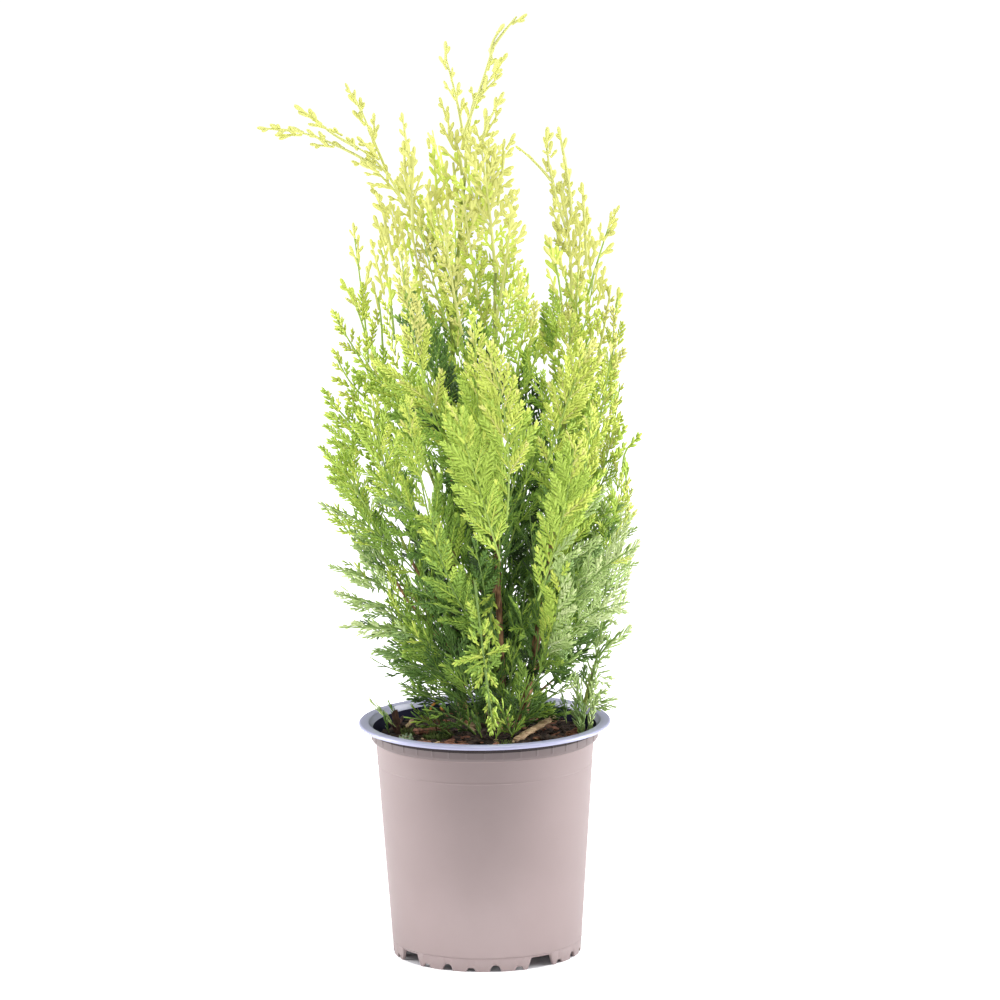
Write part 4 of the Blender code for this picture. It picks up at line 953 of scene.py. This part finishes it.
def lay_foliage(sprays):
    """Join the sprays by colour into pieces under the triangle limit. Each spray's tip is one tint paler."""
    templates = make_templates()
    piles = {(tint, smooth): [] for tint in range(len(TINTS)) for smooth in (True, False)}
    for spray in sprays:
        size = min(range(len(TEMPLATE_LENGTHS)), key=lambda index: abs(TEMPLATE_LENGTHS[index] - spray.length))
        points, inner, tips = templates[spray.kind, size][dice.integers(VARIANTS)]
        local = points * (spray.length / TEMPLATE_LENGTHS[size])
        side = np.cross(spray.face, spray.way)
        share = (local[:, 0] / spray.length)[:, None]
        placed = spray.root + local[:, :1] * spray.way + local[:, 1:2] * side + local[:, 2:] * spray.face
        placed = placed + share**2 * spray.length * spray.bend
        tint = sum(spray.tint > limit for limit in TINT_LIMITS)
        ramp = COOL if spray.cool else WARM
        tip = min(tint + (dice.random() < 0.6), len(ramp) - 1)
        for faces, shade in ((inner, ramp[tint]), (tips, ramp[tip])):
            used, again = np.unique(faces, return_inverse=True)
            piles[shade, spray.kind in SMOOTH_KINDS].append((placed[used], again.reshape(faces.shape)))
    made = []
    surfaces = [plain_material("leaf_" + name, colour, 0.55, 0.3) for name, colour in TINTS]
    for (tint, smooth), group in piles.items():
        if not group:
            continue
        name, pile, total, part_count = TINTS[tint][0] + ("" if smooth else "_top"), Pile(), 0, 0
        for points, faces in group:
            if total + len(faces) > PIECE_LIMIT:
                made.append(pile.make(f"sprays_{name}_{part_count}", surfaces[tint], smooth))
                pile, total, part_count = Pile(), 0, part_count + 1
            pile.add(points, faces)
            total += len(faces)
        made.append(pile.make(f"sprays_{name}_{part_count}", surfaces[tint], smooth))
    return made


PIECE_LIMIT = 180_000


def lay_twigs(twigs):
    """The twigs under the sprays: brown where they leave the foot of the plant, and green, lime or yellow above."""
    piles = {"brown": Pile(), "green": Pile(), "lime": Pile(), "yellow": Pile()}
    for path, last, root_radius, tip_radius in twigs:
        places = np.linspace(0, last, 14)
        middles = np.array([path.point(t) for t in places])
        radii = root_radius + (tip_radius - root_radius) * places
        split = 0 if root_radius < TWIG_ROOT_RADIUS else int(np.interp(path.start[2], (0.18, 0.30, 0.42), (4, 3, 0)))
        if split:
            piles["brown"].add(*tube_arrays(middles[: split + 1], radii[: split + 1], 6))
        height = path.end[2]
        if height > 0.56:
            radii = np.maximum(radii * 1.4, 0.8 * MM)
        upper = "yellow" if height > 0.56 else "lime" if height > 0.36 else "green"
        piles[upper].add(*tube_arrays(middles[split:], radii[split:], 6))
    surfaces = {
        "brown": mottled_material("twig_bark", (0.12, 0.060, 0.03), (0.30, 0.20, 0.08), 500, 0.7, 0.3),
        "green": plain_material("twig_green", (0.17, 0.27, 0.055), 0.5),
        "lime": plain_material("twig_lime", (0.33, 0.46, 0.09), 0.5),
        "yellow": plain_material("twig_yellow", (0.60, 0.62, 0.20), 0.5),
    }
    return [pile.make("twigs_" + name, surfaces[name]) for name, pile in piles.items()]


def notch_height(angle):
    """How high the foot ring is cut away at an angle in degrees from the front."""
    height = 0.0
    for quarter in range(4):
        slot = SLOT_ANGLE + 90 * quarter
        for step in range(6):
            foot, top, tall = SLOT if step == 0 else FLAT_NOTCH if step % 2 else ARCH_NOTCH
            away = abs((angle - (slot - NOTCH_STEP * step) + 180) % 360 - 180)
            across = math.radians(away) * FOOT_RADIUS
            if across < foot / 2:
                if step and step % 2 == 0:
                    cut = tall * math.sqrt(max(0, 1 - (across / (foot / 2)) ** 2.4))
                else:
                    cut = tall * min(1, (foot / 2 - across) / ((foot - top) / 2))
                height = max(height, cut)
    return height


def arc_points(centre, radius, start, end, count):
    """Points (radius, height) round an arc given in degrees."""
    angles = np.radians(np.linspace(start, end, count))
    return [(centre[0] + radius * math.cos(a), centre[1] + radius * math.sin(a)) for a in angles]


def body_radius(height):
    return FOOT_RADIUS + (BODY_TOP_RADIUS - FOOT_RADIUS) * height / BODY_TOP


def ring_wave(angles, count, width):
    """One at each of count places round the pot, and zero beyond half a width in degrees from them."""
    away = np.abs((angles + 180 / count) % (360 / count) - 180 / count)
    return np.clip(1.4 * (1 - away / (width / 2)), 0, 1)


NECK_RIBS, RIB_WIDTH, RIB_DEPTH = 40, 1.1, 0.55 * MM
POT_SEGMENTS = 720


def make_pot():
    """The moulded pot: rolled lip, ribbed neck painted darker with a painted shadow under the lip, faint seam lines,
    and a notched foot ring round a dark hollow.
    """
    lip_under = POT_HEIGHT - LIP_DEPTH
    lip_middle = POT_HEIGHT - LIP_DEPTH / 2
    outer, gloss, dark, neck, shade = 0, 1, 2, 3, 4
    # Each row is a radius, a height, the surface of the band above it, and whether the notches or ribs reach it
    rows = [(0.0001, FLOOR_UNDERSIDE, outer, ""), (HUB_RADIUS + MM, FLOOR_UNDERSIDE, outer, "")]
    rows += [(FOOT_RADIUS - FOOT_WALL - MM, FLOOR_UNDERSIDE, outer, ""), (FOOT_RADIUS - FOOT_WALL, 0.0, outer, "notch")]
    rows += [(FOOT_RADIUS - 0.5 * MM, 0.0, outer, "notch"), (FOOT_RADIUS - 0.1 * MM, 0.5 * MM, outer, "notch")]
    rows += [(body_radius(9.9 * MM) - 0.2 * MM, 9.9 * MM, outer, ""), (body_radius(10.3 * MM) - 0.5 * MM, 10.3 * MM, outer, "")]
    rows += [(body_radius(10.7 * MM), 10.8 * MM, outer, ""), (body_radius(11.6 * MM), 11.6 * MM, outer, "")]
    rows += [(body_radius(height), height, outer, "") for height in (50 * MM, 100 * MM, 144.9 * MM, 145.6 * MM)]
    rows += [(body_radius(146.2 * MM) + 0.25 * MM, 146.2 * MM, outer, ""), (body_radius(146.9 * MM), 146.9 * MM, outer, "")]
    rows += [(body_radius(147.6 * MM), 147.6 * MM, outer, ""), (BODY_TOP_RADIUS, BODY_TOP, outer, "")]
    # The step below the neck and the neck itself are painted darker than the body, a painted shade.
    rows += [(BODY_TOP_RADIUS + 0.5 * MM, BODY_TOP + 0.5 * MM, neck, "")]
    rows += [(NECK_RADIUS - 0.4 * MM, NECK_FOOT - 0.6 * MM, neck, ""), (NECK_RADIUS, NECK_FOOT, neck, "")]
    rows += [(NECK_RADIUS + 0.1 * MM, NECK_FOOT + 0.7 * MM, neck, ""), (NECK_RADIUS + 0.1 * MM, NECK_FOOT + MM, neck, "rib")]
    # The band just under the lip is darker still, a painted shadow of the lip.
    rows += [(NECK_RADIUS + 0.3 * MM, lip_under - 4.0 * MM, shade, "rib"), (NECK_RADIUS + 0.4 * MM, lip_under - 0.4 * MM, shade, "rib")]
    # The lip's underside takes the dark lining: partly the dark inner layer rolled over the lip, partly a painted
    # shadow.
    rows += [(NECK_RADIUS + 1.1 * MM, lip_under, dark, ""), (LIP_RADIUS - LIP_DEPTH / 2 - MM, lip_under, dark, "")]
    rows += [(r, h, gloss, "") for r, h in arc_points((LIP_RADIUS - LIP_DEPTH / 2, lip_middle), LIP_DEPTH / 2, -90, 90, 11)]
    rows += [(r, h, gloss, "") for r, h in arc_points((LIP_INNER_RADIUS + 0.9 * MM, POT_HEIGHT - 0.9 * MM), 0.9 * MM, 90, 180, 5)]
    rows += [(NECK_RADIUS + 0.3 * MM - WALL, lip_under - MM, dark, ""), (NECK_RADIUS - WALL, NECK_FOOT, dark, "")]
    rows += [(BODY_TOP_RADIUS - WALL, BODY_TOP - 1.5 * MM, dark, ""), (body_radius(100 * MM) - WALL, 100 * MM, dark, "")]
    rows += [(body_radius(FLOOR_TOP) - WALL, FLOOR_TOP, dark, ""), (0.0001, FLOOR_TOP, dark, "")]
    angles = np.arange(POT_SEGMENTS) * 360 / POT_SEGMENTS
    cuts = np.array([notch_height(angle) for angle in angles])
    ribs = ring_wave(angles, NECK_RIBS, RIB_WIDTH) * RIB_DEPTH
    around = np.radians(angles)
    points = []
    for radius, height, _, touched in rows:
        radii = radius + (ribs if touched == "rib" else np.zeros(POT_SEGMENTS))
        heights = np.maximum(height, cuts + height) if touched == "notch" else np.full(POT_SEGMENTS, height)
        points.append(np.stack([np.sin(around) * radii, -np.cos(around) * radii, heights], 1))
    corner = np.arange(POT_SEGMENTS)
    after = (corner + 1) % POT_SEGMENTS
    faces, surfaces = [], []
    for row in range(len(rows) - 1):
        low, high = row * POT_SEGMENTS, (row + 1) * POT_SEGMENTS
        faces += [np.stack([low + corner, low + after, high + after], 1), np.stack([low + corner, high + after, high + corner], 1)]
        surfaces += [rows[row][2]] * 2 * POT_SEGMENTS
    last = (len(rows) - 1) * POT_SEGMENTS
    points = np.concatenate(points + [[[0, 0, FLOOR_UNDERSIDE], [0, 0, FLOOR_TOP]]])
    faces += [np.stack([np.full(POT_SEGMENTS, len(points) - 2), after, corner], 1)]
    faces += [np.stack([np.full(POT_SEGMENTS, len(points) - 1), last + corner, last + after], 1)]
    surfaces += [outer] * POT_SEGMENTS + [dark] * POT_SEGMENTS
    pot = mesh_object("moulded_pot", points, np.concatenate(faces), pot_material())
    pot.data.materials.append(plain_material("lip_gloss", (0.365, 0.37, 0.52), 0.22, 0.6))
    pot.data.materials.append(plain_material("lining", (0.010, 0.010, 0.028), 0.9, 0.1))
    # The neck's darker colour is a painted shade and the band under the lip a painted shadow.
    pot.data.materials.append(plain_material("neck_band", (0.158, 0.125, 0.124), 0.5, 0.3))
    pot.data.materials.append(plain_material("under_lip", (0.045, 0.036, 0.038), 0.6, 0.1))
    pot.data.polygons.foreach_set("material_index", np.array(surfaces, np.int32))
    pot.data.set_sharp_from_angle(angle=math.radians(38))
    return pot


def pot_material():
    """Taupe plastic with the faint orange peel of moulding and a faint wander in its colour."""
    made = plain_material("pot_surface", (0.248, 0.193, 0.190), 0.5, 0.3)
    tree = made.node_tree
    shader = tree.nodes["Principled BSDF"]
    place = tree.nodes.new("ShaderNodeTexCoord")
    peel = tree.nodes.new("ShaderNodeTexNoise")
    peel.inputs["Scale"].default_value = 260
    peel.inputs["Detail"].default_value = 3
    relief = tree.nodes.new("ShaderNodeBump")
    relief.inputs["Strength"].default_value = 0.05
    relief.inputs["Distance"].default_value = 0.0004
    wander = tree.nodes.new("ShaderNodeTexNoise")
    wander.inputs["Scale"].default_value = 18
    wander.inputs["Detail"].default_value = 5
    ramp = tree.nodes.new("ShaderNodeValToRGB")
    ramp.color_ramp.elements[0].position = 0.3
    ramp.color_ramp.elements[0].color = (0.242, 0.189, 0.186, 1)
    ramp.color_ramp.elements[1].position = 0.75
    ramp.color_ramp.elements[1].color = (0.261, 0.205, 0.202, 1)
    tree.links.new(place.outputs["Object"], peel.inputs["Vector"])
    tree.links.new(place.outputs["Object"], wander.inputs["Vector"])
    tree.links.new(wander.outputs["Fac"], ramp.inputs["Fac"])
    tree.links.new(ramp.outputs["Color"], shader.inputs["Base Color"])
    tree.links.new(peel.outputs["Fac"], relief.inputs["Height"])
    tree.links.new(relief.outputs["Normal"], shader.inputs["Normal"])
    return made


def soil_height(x, y):
    """The uneven top of the compost."""
    radius = math.hypot(x, y)
    rough = noise.fractal(Vector((x * 70, y * 70, 3.0)), 0.7, 2.2, 5) * 2.2 * MM
    crumbs = noise.noise(Vector((x * 420, y * 420, 9.0))) * 0.8 * MM
    return SOIL_HEIGHT - 0.8 * MM + rough + crumbs - 3 * MM * max(0, (radius - 60 * MM) / (20 * MM))


def make_compost():
    """The top of the compost as a rough disc, with its plug below."""
    rings, segments = 90, 240
    outer = BODY_TOP_RADIUS - WALL - 0.4 * MM
    points, faces = [], []
    for ring in range(rings + 1):
        radius = outer * (ring / rings)
        for step in range(segments):
            angle = math.tau * step / segments
            x, y = math.sin(angle) * radius, -math.cos(angle) * radius
            points.append((x, y, soil_height(x, y)))
    foot = [(x * 0.86, y * 0.86, FLOOR_TOP + GAP) for x, y, _ in points[-segments:]]
    points += foot
    points.append((0, 0, FLOOR_TOP + GAP))
    corner = np.arange(segments)
    after = (corner + 1) % segments
    for ring in range(rings + 1):
        low, high = ring * segments, (ring + 1) * segments
        if ring:
            faces.append(np.stack([low + corner, high + corner, high + after], 1))
            faces.append(np.stack([low + corner, high + after, low + after], 1))
        else:
            faces.append(np.stack([np.zeros(segments, int), high + corner, high + after], 1))
    last = (rings + 1) * segments
    faces.append(np.stack([np.full(segments, len(points) - 1), last + after, last + corner], 1))
    surface = mottled_material("compost_surface", (0.008, 0.006, 0.005), (0.050, 0.030, 0.022), 260, 0.95, 1.0)
    return mesh_object("compost_bed", points, np.concatenate(faces), surface)


CHIP_COLOURS = {
    "tan": ((0.22, 0.13, 0.070), (0.58, 0.42, 0.25)),
    "red": ((0.10, 0.040, 0.026), (0.32, 0.14, 0.085)),
    "dark": ((0.012, 0.008, 0.007), (0.085, 0.050, 0.036)),
}


def splinter(middle, length, width, thickness, heading, tilt, rng, rows=7, wobble=0.03):
    """A torn strip of bark or wood with ragged ends, closed all round."""
    sides = 8
    middles = np.stack([
        np.linspace(-0.5, 0.5, rows) * length, rng.normal(0, wobble, rows) * length,
        rng.normal(0, wobble * 0.7, rows) * length], 1)
    angles = np.arange(sides) * math.tau / sides
    points = []
    for row, centre in enumerate(middles):
        fill = 1 if 0 < row < rows - 1 else rng.uniform(0.35, 0.7)
        lumps = rng.uniform(0.75, 1.12, sides) * fill
        points.append(np.stack([
            np.full(sides, centre[0]) + rng.normal(0, 0.03, sides) * length * (fill < 1),
            centre[1] + np.cos(angles) * width / 2 * lumps,
            centre[2] + np.sin(angles) * thickness / 2 * lumps,
        ], 1))
    points = np.concatenate(points + [middles[:1], middles[-1:]])
    corner = np.arange(sides)
    after = (corner + 1) % sides
    faces = []
    for row in range(rows - 1):
        low, high = row * sides, (row + 1) * sides
        faces.append(np.stack([low + corner, low + after, high + after], 1))
        faces.append(np.stack([low + corner, high + after, high + corner], 1))
    last = (rows - 1) * sides
    faces.append(np.stack([np.full(sides, rows * sides), after, corner], 1))
    faces.append(np.stack([np.full(sides, rows * sides + 1), last + corner, last + after], 1))
    turn = np.array(Euler((0, math.radians(-tilt), math.radians(heading))).to_matrix())
    return points @ turn.T + np.asarray(middle), np.concatenate(faces)


def scatter_chips():
    """Loose bark, from crumbs to long splinters, over the compost."""
    rng = np.random.default_rng(SEED + 1)
    piles = {name: Pile() for name in CHIP_COLOURS}
    for _ in range(900):
        radius = 76 * MM * math.sqrt(rng.random())
        angle = rng.uniform(0, math.tau)
        x, y = radius * math.cos(angle), radius * math.sin(angle)
        length = min(rng.lognormal(math.log(5), 0.55), 22) * MM
        width = length * rng.uniform(0.25, 0.7)
        name = rng.choice(("tan", "red", "dark"), p=(0.06, 0.16, 0.78))
        place = (x, y, soil_height(x, y) + width * 0.12)
        piles[name].add(*splinter(place, length, width, width * 0.4, rng.uniform(0, 360), rng.normal(0, 12), rng))
    return [pile.make("chips_" + name, mottled_material("chip_" + name, *CHIP_COLOURS[name], 300, 0.9, 0.6), smooth=False)
            for name, pile in piles.items()]


def make_named_chips():
    """The chips that are nodes of their own, each in the place of its node."""
    rng = np.random.default_rng(SEED + 2)
    made = {}
    for name, middle, length, width, thickness, heading, tilt, tone in (
        ("bark_stick", (38, -18), 62, 7, 4.5, 58, 7, "tan"),
        ("bark_chip_left", (-42, -8), 24, 13, 5, 20, 0, "red"),
        ("bark_chip_back", (6, 52), 26, 12, 5, -35, 0, "red"),
    ):
        low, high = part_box(name)
        centre = (middle[0] * MM, middle[1] * MM, (low[2] + high[2]) / 2)
        surface = mottled_material("piece_" + name, *CHIP_COLOURS[tone], 240, 0.85, 0.7, (1, 1, 3))
        arrays = splinter(centre, length * MM * 0.98, width * MM * 0.95, thickness * MM, heading, tilt, rng, rows=14, wobble=0.006)
        made[name] = mesh_object("torn_" + name, *arrays, surface, smooth=False)
    return made


# Long splinters on the compost: middle (x, y), length, width, heading and tilt in degrees, and tone
SPLINTERS = (
    ((-14, -50), 34, 5.0, -28, 4, "tan"), ((-24, -44), 30, 4.0, -35, 6, "red"), ((-40, -52), 15, 3.5, 35, 6, "tan"),
    ((-48, -44), 17, 10, -20, 4, "red"), ((-4, -58), 20, 4.5, -12, 3, "tan"), ((58, -40), 18, 5.5, 20, 4, "red"),
    ((66, -22), 16, 5.0, 62, 6, "red"), ((34, 24), 20, 5.0, 8, 4, "dark"), ((-12, 20), 16, 8, 10, 8, "tan"),
    ((-68, -14), 22, 3.0, 40, 8, "tan"), ((-66, -24), 18, 2.6, 15, 8, "tan"), ((8, -64), 14, 4, 30, 3, "red"),
    ((48, -52), 15, 4, -15, 3, "tan"), ((-58, 22), 20, 4, 70, 8, "tan"), ((24, 48), 20, 6, -20, 5, "tan"),
)


def lay_splinters():
    """Long splinters and a curled dead leaf, which stands at the left edge of the compost."""
    rng = np.random.default_rng(SEED + 4)
    piles = {tone: Pile() for tone in CHIP_COLOURS}
    for (x, y), length, width, heading, tilt, tone in SPLINTERS:
        place = (x * MM, y * MM, soil_height(x * MM, y * MM) + 1.6 * MM)
        piles[tone].add(*splinter(place, length * MM, width * MM, width * 0.55 * MM, heading, tilt, rng, rows=12, wobble=0.012))
    made = []
    for tone, pile in piles.items():
        surface = mottled_material("splinter_" + tone, *CHIP_COLOURS[tone], 240, 0.85, 0.7, (1, 1, 3))
        made.append(pile.make("chips_long_" + tone, surface, smooth=False))
    leaf = Pile()
    for x, y, length, width, heading, tilt in ((-67, 6, 18, 6, 100, 68), (-65, 9, 14, 5, 30, 50), (-69, 4, 10, 4, 200, 40)):
        place = (x * MM, y * MM, SOIL_HEIGHT + length * 0.36 * MM)
        leaf.add(*splinter(place, length * MM, width * MM, 1.2 * MM, heading, tilt, rng, rows=9, wobble=0.03))
    brown = mottled_material("dead_leaf_surface", (0.035, 0.014, 0.012), (0.16, 0.07, 0.045), 200, 0.7, 0.5)
    made.append(leaf.make("chips_dead_leaf", brown, smooth=False))
    return made


def lay_tufts():
    """Moss and lichen at the front left of the compost, and small orange buds on brown stalks."""
    rng = np.random.default_rng(SEED + 5)
    up = np.array([0, 0, 1.0])
    moss, lichen, buds, stalks = Pile(), Pile(), Pile(), Pile()
    for pile, (x, y), spread, count, size, width in ((moss, (-35, -16), 10, 420, 4.2, 0.9), (lichen, (-60, -24), 6, 150, 2.6, 2.4),
                                                     (moss, (-56, -6), 8, 150, 4.0, 0.8), (moss, (14, -52), 7, 90, 3.4, 0.8)):
        for _ in range(count):
            away, angle = spread * math.sqrt(rng.random()), rng.uniform(0, math.tau)
            place = np.array([(x + away * math.cos(angle)) * MM, (y + away * 1.3 * math.sin(angle)) * MM, 0])
            place[2] = soil_height(place[0], place[1]) + rng.uniform(-0.5, 2.2) * MM
            way = unit(up * 0.8 + rng.normal(0, 0.5, 3))
            side = unit(np.cross(way, rng.normal(0, 1, 3)))
            pile.add(*twiglet(place, way, side, size * rng.uniform(0.7, 1.3) * MM, width * MM, width * 0.6 * MM, ((0.4, 1.0),), 3))
    for x, y, z in ((-40, -24, 194), (-31, -26, 193), (-36, -20, 188)):
        top = np.array([x, y, z]) * MM
        foot = np.array([x + 5, y + 8, SOIL_HEIGHT / MM]) * MM
        stalks.add(*tube_arrays([foot + (top - foot) * share for share in (0, 0.4, 0.75, 1)], [0.7 * MM] * 4, 6))
        for _ in range(3):
            way = unit(up * 0.4 + rng.normal(0, 0.8, 3))
            side = unit(np.cross(way, rng.normal(0, 1, 3)))
            buds.add(*twiglet(top, way, side, 4.2 * MM, 2.4 * MM, 2.0 * MM, ((0.25, 0.8), (0.7, 1.0)), 4))
    return [
        moss.make("moss_patch", plain_material("moss", (0.095, 0.135, 0.028), 0.9)),
        lichen.make("moss_lichen", plain_material("lichen", (0.33, 0.42, 0.26), 0.9)),
        buds.make("chips_buds", plain_material("bud", (0.62, 0.26, 0.05), 0.6)),
        stalks.make("chips_stalks", plain_material("stalk", (0.14, 0.08, 0.03), 0.8)),
    ]


def ring_of_floor(name, inner, outer, surface, segments=64):
    """A flat disc or ring of floor round the pot."""
    around = np.arange(segments) * math.tau / segments
    circle = np.stack([np.cos(around), np.sin(around), np.zeros(segments)], 1)
    corner = np.arange(segments)
    after = (corner + 1) % segments
    points = np.concatenate([circle * inner, circle * outer])
    faces = np.concatenate([
        np.stack([corner, segments + corner, segments + after], 1), np.stack([corner, segments + after, after], 1)])
    mesh_object(name, points, faces, surface, smooth=False)


def make_lamp(name, kind, place, aim, energy, size=None, cone=None, height=None):
    light = bpy.data.lights.new(name, kind)
    light.energy = energy
    if size:
        light.shape = "RECTANGLE"
        light.size, light.size_y = size, height or size
    if cone:
        light.spot_size, light.spot_blend, light.shadow_soft_size = math.radians(cone), 1.0, 0.15
    lamp = bpy.data.objects.new(name, light)
    lamp.location = place
    lamp.visible_camera = False
    lamp.rotation_euler = (Vector(aim) - Vector(place)).to_track_quat("-Z", "Y").to_euler()
    bpy.context.scene.collection.objects.link(lamp)


def make_stage():
    """A white floor, greyer under the pot as a painted shade, a white surround, and soft light from above and from both
    sides.
    """
    white = plain_material("floor_white", (0.92, 0.92, 0.93), 0.9, 0.0)
    glowing = plain_material("floor_glow", (0.92, 0.92, 0.93), 0.9, 0.0)
    shader = glowing.node_tree.nodes["Principled BSDF"]
    shader.inputs["Emission Color"].default_value = (1, 1, 1, 1)
    shader.inputs["Emission Strength"].default_value = 0.75
    white.node_tree.nodes["Principled BSDF"].inputs["Emission Color"].default_value = (1, 1, 1, 1)
    white.node_tree.nodes["Principled BSDF"].inputs["Emission Strength"].default_value = 0.30
    shade_floor = plain_material("floor_plain", (0.80, 0.80, 0.83), 0.9, 0.0)
    # Under the pot the floor is greyer and does not glow, a painted shade.
    ring_of_floor("floor_under_pot", 0.0001, FOOT_RADIUS - MM, shade_floor)
    ring_of_floor("floor_near", FOOT_RADIUS - MM, 0.55, white)
    ring_of_floor("floor_far", 0.55, 30, glowing)
    world = bpy.data.worlds.new("studio")
    bpy.context.scene.world = world
    world.use_nodes = True
    tree = world.node_tree
    fill = tree.nodes["Background"]
    fill.inputs["Color"].default_value = (0.96, 0.97, 1.0, 1)
    fill.inputs["Strength"].default_value = 0.34
    seen = tree.nodes.new("ShaderNodeBackground")
    seen.inputs["Color"].default_value = (1, 1, 1, 1)
    seen.inputs["Strength"].default_value = 1.0
    eye = tree.nodes.new("ShaderNodeLightPath")
    mix = tree.nodes.new("ShaderNodeMixShader")
    tree.links.new(eye.outputs["Is Camera Ray"], mix.inputs[0])
    tree.links.new(fill.outputs[0], mix.inputs[1])
    tree.links.new(seen.outputs[0], mix.inputs[2])
    tree.links.new(mix.outputs[0], tree.nodes["World Output"].inputs["Surface"])
    middle = (0, 0, 0.35)
    make_lamp("box_left", "AREA", (-2.0, 0.3, 0.9), middle, 50, size=1.5)
    make_lamp("box_right", "AREA", (2.0, 0.1, 0.9), middle, 50, size=1.5)
    make_lamp("box_top", "AREA", (0.1, -0.1, 2.6), middle, 47, size=1.5)
    make_lamp("low", "AREA", (-0.01, -0.15, 0.009), (0, 0, 0.012), 0.092, size=0.28, height=0.014)
    make_lamp("pot_left", "SPOT", (-0.985, 0.17, 0.22), (0, 0, 0.09), 40, cone=13)
    make_lamp("pot_right", "SPOT", (0.985, 0.17, 0.22), (0, 0, 0.09), 54, cone=13)
    make_lamp("pool", "SPOT", (0, -1.0, 1.5), (0, -0.17, 0), 15, cone=12)
    make_lamp("crown", "SPOT", (0, -2.6, 1.5), (0, 0, 0.46), 37, cone=13)


def make_camera():
    data = bpy.data.cameras.new("camera")
    data.lens = LENS
    data.sensor_width = 36
    data.clip_end = 50
    camera = bpy.data.objects.new("camera", data)
    camera.location = CAMERA_PLACE
    tilt = Euler((math.radians(90 - CAMERA_PITCH_DOWN), 0, 0)).to_matrix()
    roll = Euler((0, 0, math.radians(-CAMERA_ROLL))).to_matrix()
    camera.rotation_euler = (tilt @ roll).to_euler()
    bpy.context.scene.collection.objects.link(camera)
    bpy.context.scene.camera = camera
    bpy.context.scene.view_settings.view_transform = "Standard"


# Slot names by how a piece's name starts; the loop at the end looks each piece's slot up and does nothing more with it
SLOTS = (
    ("moulded_pot", "pot_plastic"), ("compost", "compost"), ("chips", "bark_chip"), ("torn", "bark_chip"), ("bark", "bark"),
    ("twigs_brown", "bark"), ("twigs_yellow", "leaf_lime"), ("twigs_lime", "leaf_lime"), ("twigs", "leaf_green"), ("moss", "leaf_green"), ("sprays_gold", "leaf_gold"),
    ("sprays_citrine", "leaf_gold"), ("sprays_lime", "leaf_lime"), ("sprays_fresh", "leaf_lime"), ("sprays_pale", "leaf_lime"),
    ("sprays_frost", "leaf_lime"), ("sprays", "leaf_green"),
)

make_camera()
make_stage()
stems = {stem.name: stem_path(stem) for stem in STEMS}
paths = {frond.name: frond_path(frond, stems) for frond in FRONDS}
pieces = []
for node, piece in make_limbs(stems, paths).items():
    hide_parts(node)
    pieces.append(piece)
sprays, twigs = grow_all(stems, paths)
foliage = lay_foliage(sprays)
twig_pieces = lay_twigs(twigs)
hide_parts(*[frond.name for frond in FRONDS])
pieces += foliage + twig_pieces
pot = make_pot()
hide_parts("pot")
compost = make_compost()
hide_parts("compost")
pieces += [pot, compost] + scatter_chips() + lay_splinters() + lay_tufts()
for node, piece in make_named_chips().items():
    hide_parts(node)
    pieces.append(piece)
for piece in pieces:
    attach(piece, "root")
    for start, slot in SLOTS:
        if piece.name.startswith(start):
            break
print("sprays", len(sprays), "foliage", sum(len(piece.data.polygons) for piece in foliage),
      "triangles", sum(len(piece.data.polygons) for piece in pieces))
